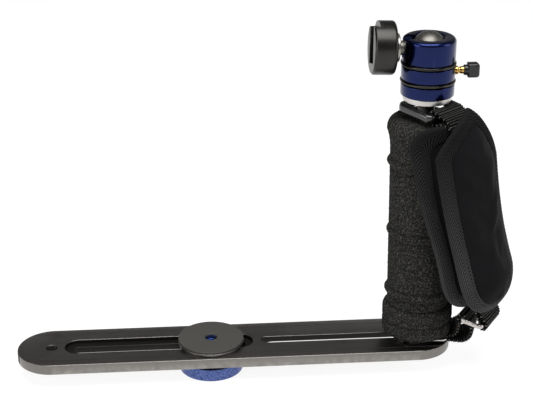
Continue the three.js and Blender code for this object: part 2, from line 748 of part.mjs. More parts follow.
// Upper part of the strap, in its own azimuth: ring round the handle's neck, webbing and pads
function upperStrap() {
  const group = new THREE.Group();
  group.rotation.z = strapAzimuth;
  const ringMiddle = (upperRingReach - upperRingBack) / 2;
  const ringHalf = (upperRingReach + upperRingBack) / 2;
  const ringHeight = foamTop + upperRingAboveFoam;
  const ring = add(group, 'upper_ring', ringLoop(
    roundedRectangle(-ringHalf, ringHalf, upperRingHalfWidth, upperRingCorner),
    roundedRectangle(-ringHalf + upperRingBar, ringHalf - upperRingBar, upperRingHalfWidth - upperRingBar,
      upperRingInnerCorner, THREE.Path),
    upperRingHeight, upperRingEdge), glossyPlastic());
  ring.position.set(ringMiddle, 0, ringHeight);
  ring.rotation.y = upperRingTilt;

  const barOut = ringHalf - upperRingBar / 2;
  const forward = new THREE.Vector3(Math.cos(upperRingTilt), 0, -Math.sin(upperRingTilt));
  const up = new THREE.Vector3(Math.sin(upperRingTilt), 0, Math.cos(upperRingTilt));
  const bar = new THREE.Vector3(ringMiddle, 0, ringHeight).addScaledVector(forward, barOut);
  const innerFace = flareRadius + innerPadLineShares[1][0] * padStandOff + innerPadCrown + webbingGap;
  const lowerPly = innerFace + webbingThickness / 2;
  const upperPly = lowerPly + webbingThickness + webbingGap;
  const meet = foamTop - upperWebbingLevelShare * foamLength;
  const end = foamTop - upperWebbingEndShare * foamLength;
  const plyPoint = (out, height) => new THREE.Vector3(out, padDrift * (foamTop - height), height);
  const lower = spread(bar, plyPoint(lowerPly, meet), upperWebbingUnderShares);
  const upper = spread(bar, plyPoint(upperPly, meet), upperWebbingOverShares);
  const bend = bendRound(bar, up, forward.clone().negate(), upperRingHeight / 2, upperRingBar / 2);
  const points = [plyPoint(lowerPly, end), plyPoint(lowerPly, meet), ...lower, ...bend, ...upper,
    plyPoint(upperPly, meet), plyPoint(upperPly, end)];
  add(group, 'webbing_upper', band(points, points.map(() => 0), 3 * points.length), webbing());

  add(group, 'outer_pad', padCore(outerPad, outerPadInside, outerPadCrown, outerPadRim), neoprene());
  add(group, 'outer_binding', padBinding(outerPad), wovenBinding());
  add(group, 'inner_pad', padCore(innerPad, innerPadInside, innerPadCrown, innerPadRim), neoprene());
  add(group, 'inner_binding', padBinding(innerPad), wovenBinding());
  return group;
}

// Lower part of the strap: flat ring round the handle's boss, webbing loop, link and webbing
function lowerStrap() {
  const group = new THREE.Group();
  const ringCentre = (lowerRingReach - lowerRingBack) / 2;
  const ringHalf = (lowerRingReach + lowerRingBack) / 2;
  const ring = add(group, 'lower_ring', ringLoop(
    roundedRectangle(-ringHalf, ringHalf, lowerRingHalfWidth, lowerRingCorner),
    roundedRectangle(-ringHalf + lowerRingEndBar, ringHalf - lowerRingEndBar,
      lowerRingHalfWidth - lowerRingSideBar, lowerRingCorner - lowerRingEndBar, THREE.Path),
    lowerRingThickness, 0), steel());
  ring.position.set(ringCentre, 0, lowerRingBottom + lowerRingThickness / 2);

  const linkAhead = outwardAt(linkTurn);
  const forward = linkAhead.clone().multiplyScalar(Math.cos(linkSlope)).setZ(-Math.sin(linkSlope));
  const up = linkAhead.clone().multiplyScalar(Math.sin(linkSlope)).setZ(Math.cos(linkSlope));
  const linkCentre = outwardAt(linkAzimuth).multiplyScalar(linkReach).setZ(linkLevel);
  const link = add(group, 'strap_link', ringLoop(
    roundedRectangle(-linkLength / 2, linkLength / 2, linkHalfWidth, linkCorner),
    roundedRectangle(-linkLength / 2 + linkWire, linkLength / 2 - linkWire, linkHalfWidth - linkWire,
      linkInnerCorner, THREE.Path),
    linkWire, linkEdge), steel());
  link.position.copy(linkCentre);
  link.rotation.set(0, linkSlope, linkTurn, 'ZYX');

  const barReach = (linkLength - linkWire) / 2;
  const innerBar = linkCentre.clone().addScaledVector(forward, -barReach);
  const outerBar = linkCentre.clone().addScaledVector(forward, barReach);
  const wire = linkWire / 2;

  const ringLevel = lowerRingBottom + lowerRingThickness / 2;
  const ringBar = new THREE.Vector3(lowerRingReach - lowerRingEndBar / 2, 0, ringLevel);
  const upwards = new THREE.Vector3(0, 0, 1);
  const ringBend = bendRound(ringBar, upwards, outwardAt(ringAzimuth).negate(), lowerRingThickness / 2,
    lowerRingEndBar / 2);
  const linkBend = bendRound(innerBar, forward, up, wire, wire);
  const loopPoints = [...ringBend, ...spread(ringBar, innerBar, loopOverShares), ...linkBend,
    ...spread(innerBar, ringBar, loopUnderShares)];
  const loopAzimuths = [...ringBend.map(() => ringAzimuth),
    ...between(ringAzimuth, linkTurn, loopOverShares.length), ...linkBend.map(() => linkTurn),
    ...between(linkTurn, ringAzimuth, loopUnderShares.length)];
  add(group, 'webbing_loop', band(loopPoints, loopAzimuths, 2 * loopPoints.length, true), webbing());

  const padAzimuth = strapAzimuth + padTwist;
  const seat = webbingGap + webbingThickness / 2;
  const innerEnd = padFacePoint(innerPad, lowerWebbingEndShare, innerPadCrown + seat + webbingEdgeRoom);
  const innerLast = padFacePoint(innerPad, lowerWebbingLastShare, innerPadCrown + seat + webbingEdgeRoom);
  const outerEnd = padFacePoint(outerPad, lowerWebbingEndShare, -outerPadInside - seat - webbingArchRoom);
  const outerLast = padFacePoint(outerPad, lowerWebbingLastShare, -outerPadInside - seat - webbingArchRoom);
  const lowerBend = bendRound(outerBar, forward, up.clone().negate(), wire, wire);
  const tailPoints = [innerEnd, innerLast, ...spread(innerLast, outerBar, tailInnerShares), ...lowerBend,
    ...spread(outerBar, outerLast, tailOuterShares), outerLast, outerEnd];
  const tailAzimuths = [padAzimuth, padAzimuth, ...between(padAzimuth, linkTurn, tailInnerShares.length),
    ...lowerBend.map(() => linkTurn), ...between(linkTurn, padAzimuth, tailOuterShares.length),
    padAzimuth, padAzimuth];
  add(group, 'webbing_lower', band(tailPoints, tailAzimuths, 2 * tailPoints.length), webbing());
  return group;
}

// Even steps from one value to another, without the two ends
function between(from, to, count) {
  return Array.from({ length: count }, (unused, i) => from + (to - from) * (i + 1) / (count + 1));
}

// A place over a pad's face, on its middle line at a share of its length, in the handle's frame
function padFacePoint(surface, share, off) {
  const { place, normal } = surface.frame(surface.length * share, lowerWebbingSideShift);
  return place.addScaledVector(normal, off).applyAxisAngle(new THREE.Vector3(0, 0, 1), strapAzimuth);
}

function strapGroup() {
  const group = new THREE.Group();
  group.add(upperStrap(), lowerStrap());
  return group;
}

// Shell round the ball: a mouth on top for the stem, and a notch in one side for its low reach
function headShell() {
  const cavity = ballRadius + boreClearance;
  const top = shellBottom + shellHeight;
  const mouthRise = Math.sqrt(cavity ** 2 - shellMouth ** 2);
  const mouthAngle = Math.atan2(mouthRise, shellMouth);
  const profile = [[cavity, shellBottom], [headBodyRadius - headEdge / 2, shellBottom],
    ...arcPoints(headBodyRadius - headEdge / 2 - shellEdge, top - shellEdge, shellEdge, 0, Math.PI / 2, 4),
    [shellMouth, top],
    ...arcPoints(0, ballHeight, cavity, mouthAngle, 0, 5), [cavity, shellBottom]];
  const reach = headBodyRadius + cutOverrun;
  const slot = block([-reach, 0], [-notchHalfWidth, notchHalfWidth], [ballHeight, top + cutOverrun]);
  const roundBottom = new THREE.CylinderGeometry(notchHalfWidth, notchHalfWidth, reach, roundSides)
    .rotateZ(Math.PI / 2).translate(-reach / 2, 0, ballHeight);
  return geometryOf(solidOf(turned(profile)).subtract(solidOf(slot)).subtract(solidOf(roundBottom)));
}

// Wing knob on the lock screw: a rounded block on a short hub, bored for the screw
function lockKnob(lockHeight) {
  const start = lockKnobStart + lockHubLength;
  const end = lockKnobStart + lockKnobLength;
  const wing = raised(roundedRectangle(start, end, lockKnobHeight / 2, lockKnobCorner), -lockKnobDepth / 2,
    lockKnobDepth, lockKnobEdge, 4).rotateX(Math.PI / 2);
  const hubLength = lockHubLength + lockKnobEdge;
  const hub = new THREE.CylinderGeometry(lockHubRadius, lockHubRadius, hubLength, smallSides)
    .rotateZ(Math.PI / 2).translate(lockKnobStart + hubLength / 2, 0, 0);
  const socket = new THREE.CylinderGeometry(lockCollarRadius, lockCollarRadius, lockSocketDepth + cutOverrun,
    smallSides).rotateZ(Math.PI / 2).translate(lockKnobStart + (lockSocketDepth - cutOverrun) / 2, 0, 0);
  return geometryOf(solidOf(wing).add(solidOf(hub)).subtract(solidOf(socket))).translate(0, 0, lockHeight);
}

// Head group: collar, bands, clamp housing, shell and the lock that squeezes the ball
function headGroup() {
  const group = new THREE.Group();
  const studBore = studRadius + boreClearance;
  const studRoom = collarBottom + studIntoHead + seatGap;
  const collarTop = collarBottom + collarHeight;
  add(group, 'head_collar', turned([[studBore, collarBottom], [headBodyRadius - headEdge, collarBottom],
    [headBodyRadius, collarBottom + headEdge], [headBodyRadius, collarTop], [0, collarTop], [0, studRoom],
    [studBore, studRoom], [studBore, collarBottom]]), blueMetal());
  add(group, 'lower_band', sleeve(headBandRadius, spigotRadius + boreClearance, lowerBandBottom,
    lowerBandHeight), blackMetal());

  const pushBore = pushPlugRadius + boreClearance;
  const lockHeight = housingBottom + lockHeightShare * housingHeight;
  const housingTop = housingBottom + housingHeight;
  const alongX = (outline) => turned(outline, smallSides).rotateY(Math.PI / 2).translate(0, 0, lockHeight);
  const lockBore = solidOf(alongX([[0, pushPlugRadius - lockNotchDepth], [lockScrewRadius + boreClearance,
    pushPlugRadius - lockNotchDepth], [lockScrewRadius + boreClearance, headBodyRadius + cutOverrun],
    [0, headBodyRadius + cutOverrun]]));
  const housing = turned([[0, lowerBandBottom], [spigotRadius, lowerBandBottom],
    [spigotRadius, housingBottom], [headBodyRadius, housingBottom], [headBodyRadius, housingTop],
    [pushBore, housingTop],
    [pushBore, housingBottom + housingFloor], [0, housingBottom + housingFloor]]);
  add(group, 'clamp_housing', geometryOf(solidOf(housing).subtract(lockBore)), blueMetal());
  const plugBottom = housingBottom + housingFloor + seatGap;
  const plugTop = ballHeight - ballRadius - seatGap;
  const plug = turned([[0, plugBottom], [pushPlugRadius, plugBottom], [pushPlugRadius, plugTop],
    [0, plugTop]], smallSides);
  add(group, 'push_plug', geometryOf(solidOf(plug).subtract(lockBore)), steel());

  const cavity = ballRadius + boreClearance;
  const cupBottom = upperBandBottom;
  const cupTop = cupBottom + cupHeight;
  const hollow = ballRadius + cupClearance;
  const sphereAngle = (height) => -Math.asin((ballHeight - height) / hollow);
  const cupWall = arcPoints(0, ballHeight, hollow, sphereAngle(cupTop), sphereAngle(cupBottom), 4);
  add(group, 'ball_cup', turned([cupWall.at(-1), [cupRadius, cupBottom], [cupRadius, cupTop], ...cupWall],
    smallSides), rubber());
  add(group, 'upper_band', sleeve(headBandRadius, cavity, upperBandBottom, upperBandHeight), blackMetal());
  add(group, 'head_shell', headShell(), blueMetal());

  const tip = pushPlugRadius - lockNotchDepth + seatGap;
  const screwEnd = lockKnobStart + lockSocketDepth - seatGap;
  const collarStart = headBodyRadius + seatGap;
  const collarEnd = collarStart + lockCollarLength;
  add(group, 'lock_screw', alongX([[0, tip], [lockScrewRadius - lockScrewTipEdge, tip],
    [lockScrewRadius, tip + lockScrewTipEdge], [lockScrewRadius, collarStart],
    [lockCollarRadius, collarStart], [lockCollarRadius, collarEnd], [lockScrewRadius, collarEnd],
    [lockScrewRadius, screwEnd], [0, screwEnd]]), brass());
  add(group, 'lock_knob', lockKnob(lockHeight), glossyPlastic());
  group.add(ballGroup());
  return group;
}

// Ball and stem: Z runs along the stem from the ball's centre, X points up at rest
function ballGroup() {
  const group = new THREE.Group();
  group.position.z = ballHeight;
  group.rotation.y = -(Math.PI / 2 - stemRestTilt);
  const neckAngle = Math.acos(stemNeckRadius / ballRadius);
  const studEnd = stemNeckLength + stemStudLength;
  add(group, 'ball', turned([...arcPoints(0, 0, ballRadius, -Math.PI / 2, neckAngle, ballSteps),
    [stemNeckRadius, stemNeckLength], [stemStudRadius, stemNeckLength], [stemStudRadius, studEnd],
    [0, studEnd]], ballSides), steel());
  add(group, 'stem_flange', sleeve(flangeDiscRadius, stemStudRadius + boreClearance, stemNeckLength + seatGap,
    flangeDiscThickness), steel());
  group.add(shoeGroup());
  return group;
}

// Accessory shoe: a round block with an undercut channel, open on the side that X points to
function shoeGroup() {
  const group = new THREE.Group();
  group.rotation.z = shoeTurn;
  const back = stemNeckLength + seatGap + flangeDiscThickness + seatGap;
  const front = back + shoeThickness;
  const floor = front - shoeLipThickness - shoeChannelDepth;
  const studBore = stemStudRadius + boreClearance;
  const studRoom = back + shoeStudDepth;
  const headRoom = shoeScrewInset + shoeScrewHead + seatGap;
  const shankBore = shoeScrewShank + boreClearance;
  const headBore = shoeScrewRadius + boreClearance;
  const body = turned([[studBore, back],
    ...arcPoints(shoeRadius - shoeBackEdge, back + shoeBackEdge, shoeBackEdge, -Math.PI / 2, 0, 3),
    [shoeRadius, front - shoeRimEdge], [shoeRadius - shoeRimEdge, front], [headBore, front],
    [headBore, floor - headRoom], [shankBore, floor - headRoom], [shankBore, studRoom], [studBore, studRoom],
    [studBore, back]]);
  const past = shoeRadius + cutOverrun;
  const above = front + cutOverrun;
  const channel = block([-shoeChannelEnd, past], [-shoeChannelWidth / 2, shoeChannelWidth / 2],
    [floor, floor + shoeChannelDepth]);
  const mouthEnd = shoeChannelEnd - (shoeChannelWidth - shoeMouthWidth) / 4;
  const mouth = block([-mouthEnd, past], [-shoeMouthWidth / 2, shoeMouthWidth / 2], [floor, above]);
  const lipCut = block([shoeLipCut, past], [-past, past], [floor, above]);
  const solid = [channel, mouth, lipCut].reduce((rest, cut) => rest.subtract(solidOf(cut)), solidOf(body));
  add(group, 'shoe_body', geometryOf(solid), blackMetal());
  const headTop = floor - shoeScrewInset;
  const headBottom = headTop - shoeScrewHead;
  add(group, 'shoe_screw', turned([[0, headBottom - shoeScrewShankLength], [shoeScrewShank,
    headBottom - shoeScrewShankLength], [shoeScrewShank, headBottom], [shoeScrewRadius, headBottom],
    [shoeScrewRadius, headTop], [0, headTop]], smallSides), steel());
  return group;
}

const group = new THREE.Group();
add(group, 'rail', rail(), blackMetal());
const onHandle = new THREE.Group();
onHandle.position.x = handleDistance;
onHandle.add(handleGroup(), strapGroup(), headGroup());
group.add(cameraGroup(), onHandle);

export default group;
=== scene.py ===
# Camera bracket grip: a slotted rail with a sliding camera seat, an upright foam handle with a
# padded hand strap, and a small ball head with an accessory shoe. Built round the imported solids.
import math

import bmesh
import bpy
import numpy as np
from mathutils import Matrix, Vector


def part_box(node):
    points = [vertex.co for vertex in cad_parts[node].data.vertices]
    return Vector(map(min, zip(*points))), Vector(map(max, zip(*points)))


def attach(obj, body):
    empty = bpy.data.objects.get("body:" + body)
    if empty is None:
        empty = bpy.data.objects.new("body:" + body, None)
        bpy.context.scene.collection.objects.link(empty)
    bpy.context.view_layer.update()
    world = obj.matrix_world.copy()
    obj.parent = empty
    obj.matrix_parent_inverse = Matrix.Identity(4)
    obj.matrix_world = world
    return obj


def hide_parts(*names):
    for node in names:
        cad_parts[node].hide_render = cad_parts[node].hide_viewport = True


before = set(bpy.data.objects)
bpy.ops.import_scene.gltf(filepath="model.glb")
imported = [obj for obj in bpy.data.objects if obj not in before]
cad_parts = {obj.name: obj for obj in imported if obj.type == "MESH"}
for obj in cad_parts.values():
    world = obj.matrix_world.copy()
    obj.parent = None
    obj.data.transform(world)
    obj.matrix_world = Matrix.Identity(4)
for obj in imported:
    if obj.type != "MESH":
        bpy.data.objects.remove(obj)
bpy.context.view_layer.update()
mm = 0.001

# Shared helpers: closed meshes from outlines, milling, placing pieces and finishes.


def span(node, axis):
    """Lowest and highest place of a solid along X, Y or Z (0, 1, 2), in millimetres."""
    low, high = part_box(node)
    return low[axis] / mm, high[axis] / mm


def mesh_of(points, faces, weld=0.002):
    """A closed mesh in metres from points in millimetres, welded, with its faces outwards."""
    mesh = bpy.data.meshes.new("shape")
    mesh.from_pydata([tuple(c * mm for c in p) for p in points], [], faces)
    shape = bmesh.new()
    shape.from_mesh(mesh)
    if weld:
        bmesh.ops.remove_doubles(shape, verts=shape.verts, dist=weld * mm)
    bmesh.ops.recalc_face_normals(shape, faces=shape.faces)
    shape.to_mesh(mesh)
    shape.free()
    return mesh


def ring_quads(rings, count, closed=False, capped=False):
    """Faces between rings of count points that follow one another, closed in a loop or capped."""
    faces = []
    for i in range(rings if closed else rings - 1):
        here, after = i * count, (i + 1) % rings * count
        for j in range(count):
            k = (j + 1) % count
            faces.append((here + j, here + k, after + k, after + j))
    if capped:
        faces += [tuple(range(count - 1, -1, -1)), tuple(range((rings - 1) * count, rings * count))]
    return faces


def round_ended(start, end, half, grow=0.0, turns=40):
    """Points round a flat outline with round ends, between two places along X."""
    points = []
    for middle, first in ((end - half, -math.pi / 2), (start + half, math.pi / 2)):
        for k in range(turns + 1):
            angle = first + math.pi * k / turns
            points.append((middle + (half + grow) * math.cos(angle), (half + grow) * math.sin(angle)))
    return points


def stacked(layers):
    """A solid from flat outlines with the same number of points, stacked up at their heights."""
    points = [(x, y, height) for outline, height in layers for x, y in outline]
    return mesh_of(points, ring_quads(len(layers), len(layers[0][0]), capped=True))


def eased_layers(outline_at, bottom, top, edge, steps=3):
    """Layers of a plate whose top and bottom edges are rounded; outline_at gives the outline."""
    arc = [(math.cos(a) - 1, 1 - math.sin(a)) for a in np.linspace(math.pi / 2, 0, steps + 1)]
    low = [(outline_at(edge * inset), bottom + edge * rise) for inset, rise in arc]
    high = [(outline_at(edge * inset), top - edge * rise) for inset, rise in reversed(arc)]
    return low + high


def in_scene(name, data):
    """A new object of a mesh, light or camera, put into the scene."""
    made = bpy.data.objects.new(name, data)
    bpy.context.scene.collection.objects.link(made)
    return made


def result_of(holder):
    """The mesh that an object's modifiers give; the object goes."""
    graph = bpy.context.evaluated_depsgraph_get()
    made = bpy.data.meshes.new_from_object(holder.evaluated_get(graph), depsgraph=graph)
    bpy.data.objects.remove(holder)
    return made


def evaluated_mesh(mesh, prepare):
    """The mesh after the modifiers that prepare adds to an object of it."""
    holder = in_scene("holder", mesh)
    prepare(holder)
    bpy.context.view_layer.update()
    return result_of(holder)


def combined(mesh, others, operation="DIFFERENCE"):
    """The mesh with each of the others milled out of it, or joined to it by UNION."""
    tools = []

    def prepare(holder):
        for other in others:
            tools.append(in_scene("tool", other))
            step = holder.modifiers.new("step", "BOOLEAN")
            step.operation, step.solver, step.object = operation, "EXACT", tools[-1]

    made = evaluated_mesh(mesh, prepare)
    for tool in tools:
        bpy.data.objects.remove(tool)
    return made


def fit_piece(name, mesh, finish, body, stands_for=(), sharp=32):
    """Puts a finished mesh into the scene, on its body, in place of the solids it stands for."""
    mesh.materials.clear()
    mesh.materials.append(finish)
    mesh.shade_smooth()
    mesh.set_sharp_from_angle(angle=math.radians(sharp))
    piece = in_scene(name, mesh)
    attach(piece, body)
    if stands_for:
        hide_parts(*stands_for)
    return piece


def add_node(tree, kind, sockets=(), **settings):
    """A node with its settings, and its sockets set to values or joined to other sockets."""
    made = tree.nodes.new(kind)
    for name, value in settings.items():
        setattr(made, name, value)
    for name, value in dict(sockets).items():
        if isinstance(value, bpy.types.NodeSocket):
            tree.links.new(value, made.inputs[name])
        else:
            made.inputs[name].default_value = value
    return made


def worked(tree, operation, *values):
    """The result of a Math node on numbers or sockets."""
    return add_node(tree, "ShaderNodeMath", enumerate(values), operation=operation).outputs[0]


def times(tree, *values):
    """The product of two numbers or sockets."""
    return worked(tree, "MULTIPLY", *values)


def plus(tree, *values):
    """The sum of two numbers or sockets."""
    return worked(tree, "ADD", *values)


def remapped(tree, value, low, high, start=0.0, end=1.0):
    """A value taken from one range to another, held at the ends."""
    sockets = {"Value": value, 1: low, 2: high, 3: start, 4: end}
    return add_node(tree, "ShaderNodeMapRange", sockets).outputs[0]


def noise_on(tree, place, scale, detail):
    """Smooth noise at a place."""
    sockets = {"Vector": place, "Scale": scale, "Detail": detail}
    return add_node(tree, "ShaderNodeTexNoise", sockets).outputs[0]


def shared_effect(name, inputs, outputs):
    """An empty shader node group with named inputs and outputs, and its two end nodes."""
    tree = bpy.data.node_groups.new(name, "ShaderNodeTree")
    for label, kind, value in inputs:
        socket = tree.interface.new_socket(label, in_out="INPUT", socket_type=kind)
        if value is not None:
            socket.default_value = value
    for label, kind in outputs:
        tree.interface.new_socket(label, in_out="OUTPUT", socket_type=kind)
    return tree, tree.nodes.new("NodeGroupInput").outputs, tree.nodes.new("NodeGroupOutput").inputs


NUMBER, PLACE = "NodeSocketFloat", "NodeSocketVector"


def surface_marks(name, fineness, detail, share, broad_scale, broad_detail, warped=None):
    """Marks on a surface: a height from fine noise, and a tone that mixes broader noise in."""
    tree, given, result = shared_effect(name, [("Position", PLACE, None), ("Fineness", NUMBER, fineness)],
                                        [("Height", NUMBER), ("Tone", NUMBER)])
    place = warped(tree, given["Position"]) if warped else given["Position"]
    fine = noise_on(tree, place, given["Fineness"], detail)
    broad = noise_on(tree, given["Position"], broad_scale, broad_detail)
    tree.links.new(fine, result["Height"])
    mixed = plus(tree, times(tree, fine, share), times(tree, broad, 1.0 - share))
    tree.links.new(mixed, result["Tone"])
    return tree


def along_x_lines(tree, place):
    """Stretches a place along X, which draws the noise out into lines."""
    return add_node(tree, "ShaderNodeVectorMath", {0: place, 1: (0.02, 1.0, 1.0)},
                    operation="MULTIPLY").outputs[0]


def round_axis_lines(tree, place):
    """The distance from the axis along Z and the height, which makes rings of the noise."""
    parts = add_node(tree, "ShaderNodeSeparateXYZ", {0: place}).outputs
    squares = plus(tree, times(tree, parts[0], parts[0]), times(tree, parts[1], parts[1]))
    return add_node(tree, "ShaderNodeCombineXYZ", {0: worked(tree, "SQRT", squares), 1: parts[2]}).outputs[0]


def bright_edges():
    """Where a hard piece is bright along its edges: a mask. It stands for rubbing on most pieces, and for a
    painted highlight on the black bands.
    """
    tree, given, result = shared_effect(
        "bright_edges", [("Position", PLACE, None), ("Amount", NUMBER, 0.5)], [("Mask", NUMBER)])
    shape = add_node(tree, "ShaderNodeNewGeometry")
    edge = remapped(tree, shape.outputs["Pointiness"], 0.53, 0.62)
    patch = noise_on(tree, given["Position"], 240.0, 3.0)
    broken = remapped(tree, patch, 0.35, 0.7, 0.2, 1.0)
    broken_edge = times(tree, edge, broken)
    tree.links.new(times(tree, broken_edge, given["Amount"]), result["Mask"])
    return tree


DRAWN_LINES = surface_marks("drawn_lines", 900.0, 3.0, 0.5, 35.0, 2.0, along_x_lines)
TURNING_LINES = surface_marks("turning_lines", 900.0, 3.0, 0.8, 700.0, 2.0, round_axis_lines)
FINE_GRAIN = surface_marks("fine_grain", 2500.0, 2.0, 0.55, 60.0, 3.0)
BRIGHT_EDGES = bright_edges()


def finish_named(name, color, roughness, metallic=0.0, **more):
    """A material with its shader set, and what the caller joins to it: tree, shader, position."""
    material = bpy.data.materials.new(name)
    material.use_nodes = True
    tree = material.node_tree
    shader = tree.nodes["Principled BSDF"]
    shader.inputs["Base Color"].default_value = (*color, 1.0)
    shader.inputs["Roughness"].default_value = roughness
    shader.inputs["Metallic"].default_value = metallic
    for label, value in more.items():
        shader.inputs[label.replace("_", " ")].default_value = value
    place = add_node(tree, "ShaderNodeTexCoord").outputs["Object"]
    return material, tree, shader, place


def join_effect(tree, effect, sockets):
    """A shared effect with its inputs set or joined."""
    made = tree.nodes.new("ShaderNodeGroup")
    made.node_tree = effect
    for label, value in sockets.items():
        if isinstance(value, bpy.types.NodeSocket):
            tree.links.new(value, made.inputs[label])
        else:
            made.inputs[label].default_value = value
    return made.outputs


def raise_surface(tree, shader, height, depth, strength=1.0):
    """Joins a height to the shader's normal, at a depth in millimetres."""
    bump = add_node(tree, "ShaderNodeBump", {"Height": height, "Distance": depth * mm,
                                             "Strength": strength})
    tree.links.new(bump.outputs[0], shader.inputs["Normal"])


def vary_roughness(tree, shader, tone, smooth, rough):
    """Joins a tone to the shader's roughness."""
    tree.links.new(remapped(tree, tone, 0.3, 0.7, smooth, rough), shader.inputs["Roughness"])


def blend_tones(tree, amount, dark, light):
    """A colour between two, by an amount that changes over the surface."""
    made = add_node(tree, "ShaderNodeMix", data_type="RGBA")
    tree.links.new(amount, made.inputs[0])
    for socket, color in ((made.inputs[6], dark), (made.inputs[7], light)):
        if isinstance(color, bpy.types.NodeSocket):
            tree.links.new(color, socket)
        else:
            socket.default_value = (*color, 1.0)
    return made.outputs[2]


def between_levels(tree, value, low, high, blur):
    """A mask: one while a value lies between two levels in millimetres, with soft ends."""
    rising = remapped(tree, value, (low - blur) * mm, (low + blur) * mm)
    falling = remapped(tree, value, (high - blur) * mm, (high + blur) * mm, 1.0, 0.0)
    return times(tree, rising, falling)


def slot_shade_mask(tree, place, reach, low, high):
    """A mask of what lies within a reach of the middle line and between two heights: the slots, where shade
    is painted.
    """
    parts = add_node(tree, "ShaderNodeSeparateXYZ", {0: place}).outputs
    return times(tree, between_levels(tree, parts[1], -reach, reach, 0.2),
                 between_levels(tree, parts[2], low, high, 0.15))


def black_anodised(name, effect, fineness, light, dark, roughness, inside):
    """Black anodised aluminium with tool marks, rubbed a little on its edges, dull in its slots and darkened
    there with painted shade.
    """
    material, tree, shader, place = finish_named(name, light, roughness, 1.0)
    marks = join_effect(tree, effect, {"Position": place, "Fineness": fineness})
    edge_mask = join_effect(tree, BRIGHT_EDGES, {"Position": place, "Amount": 0.5})
    toned = blend_tones(tree, marks["Tone"], dark, light)
    edged = blend_tones(tree, edge_mask["Mask"], toned, (0.45, 0.43, 0.4))
    painted_slot_shade = slot_shade_mask(tree, place, *inside)
    # painted shade: inside the slots the colour goes to near black, standing in for the shadow under the rail
    tree.links.new(blend_tones(tree, painted_slot_shade, edged, (0.035, 0.034, 0.032)), shader.inputs["Base Color"])
    spread = remapped(tree, marks["Tone"], 0.3, 0.7, roughness - 0.07, roughness + 0.08)
    tree.links.new(worked(tree, "MULTIPLY_ADD", painted_slot_shade, 0.25, spread), shader.inputs["Roughness"])
    raise_surface(tree, shader, marks["Height"], 0.02, 0.5)
    return material


# Rail: a flat bar of black anodised aluminium with round ends, milled from an extrusion.
# The front slot is recessed from above for the camera's guide, the rear one is counterbored
# from below for the handle's screw, and a fine groove runs along each edge of the top.

rail_left, rail_right = span("rail", 0)
rail_half = span("rail", 1)[1]
rail_bottom, rail_top = span("rail", 2)
# The last numbers give the slots, which painted shade darkens.
rail_finish = black_anodised("rail_black", DRAWN_LINES, 1500.0, (0.25, 0.235, 0.22),
                             (0.15, 0.142, 0.133), 0.3, (8.3, rail_bottom + 0.3, rail_top - 0.12))
camera_slot = (rail_left + 31.6, 19.8)
camera_recess = (rail_left + 27, 24.4)
handle_slot = (28.9, 124.0)
counterbore = (28.9, 128.6)
slot_half, recess_half, counterbore_half = 3.4, 8.0, 8.0
recess_floor, counterbore_roof = rail_top - 2.2, rail_bottom + 3.2
end_hole = (rail_left + 19.6, 3.0)
rail_edge, slot_edge, past = 0.55, 0.25, 1.0
groove_out, groove_half, groove_depth = 15.6, 0.3, 0.35


def slot_cutter(ends, half, bottom, top, open_below, open_above):
    """A milling cutter's path with a small chamfer where it leaves the metal."""
    layers = []
    if open_below:
        layers += [(slot_edge + past, bottom - past), (slot_edge, bottom), (0.0, bottom + slot_edge)]
    else:
        layers += [(0.0, bottom)]
    if open_above:
        layers += [(0.0, top - slot_edge), (slot_edge, top), (slot_edge + past, top + past)]
    else:
        layers += [(0.0, top)]
    return stacked([(round_ended(*ends, half, grow), height) for grow, height in layers])


def thread_cutter(middle, radius, bottom, top, pitch=1.0, depth=0.28):
    """A tapped hole's cutter: ridges one pitch apart and a countersink at each mouth."""
    rings = [(radius + 0.5 + past, bottom - past), (radius + 0.5, bottom), (radius, bottom + 0.5)]
    height = bottom + 0.5
    while height < top - 0.5 - pitch:
        rings += [(radius - depth, height + pitch / 2), (radius, height + pitch)]
        height += pitch
    rings += [(radius, top - 0.5), (radius + 0.5, top), (radius + 0.5 + past, top + past)]
    turns = np.linspace(0, 2 * math.pi, 48, endpoint=False)
    return stacked([([(middle + r * math.cos(a), r * math.sin(a)) for a in turns], z) for r, z in rings])


rail_bar = stacked(eased_layers(lambda grow: round_ended(rail_left, rail_right, rail_half, grow, 64),
                                rail_bottom, rail_top, rail_edge))
groove_start, groove_end = rail_left - past, rail_right + past
groove_cutters = [stacked([([(groove_start, y - w), (groove_end, y - w), (groove_end, y + w),
                             (groove_start, y + w)], z)
                           for w, z in ((groove_half * 0.5, rail_top - groove_depth),
                                        (groove_half, rail_top), (groove_half * 2, rail_top + past))])
                  for y in (-groove_out, groove_out)]
rail_mesh = combined(rail_bar, [
    slot_cutter(camera_recess, recess_half, recess_floor, rail_top, False, True),
    slot_cutter(camera_slot, slot_half, rail_bottom, recess_floor, True, True),
    slot_cutter(counterbore, counterbore_half, rail_bottom, counterbore_roof, True, False),
    slot_cutter(handle_slot, slot_half, counterbore_roof - past, rail_top, False, True),
    thread_cutter(end_hole[0], end_hole[1], rail_bottom, rail_top), *groove_cutters])
fit_piece("slotted_rail", rail_mesh, rail_finish, "rail", ["rail"], 25)

# Camera knob and screw: turned from aluminium and anodised blue. The knob is a plain thick disc
# gripped from below, and the screw stands up through the seat with a rounded tip and its thread.


def eased(outline, radius, steps=3):
    """An outline of radius and height with its corners rounded, except those on the axis."""
    made = []
    for i, here in enumerate(outline):
        here = np.array(here, float)
        back, on = np.array(outline[i - 1]) - here, np.array(outline[(i + 1) % len(outline)]) - here
        sizes = np.linalg.norm(back), np.linalg.norm(on)
        straight = -np.dot(back, on) / (sizes[0] * sizes[1])
        if here[0] < 0.001 or straight > math.cos(math.radians(28)):
            made.append(tuple(here))
            continue
        cut = min(radius, 0.42 * sizes[0], 0.42 * sizes[1])
        first, last = here + back / sizes[0] * cut, here + on / sizes[1] * cut
        for t in np.linspace(0, 1, steps + 1):
            made.append(tuple(first * (1 - t) ** 2 + here * 2 * t * (1 - t) + last * t * t))
    return made


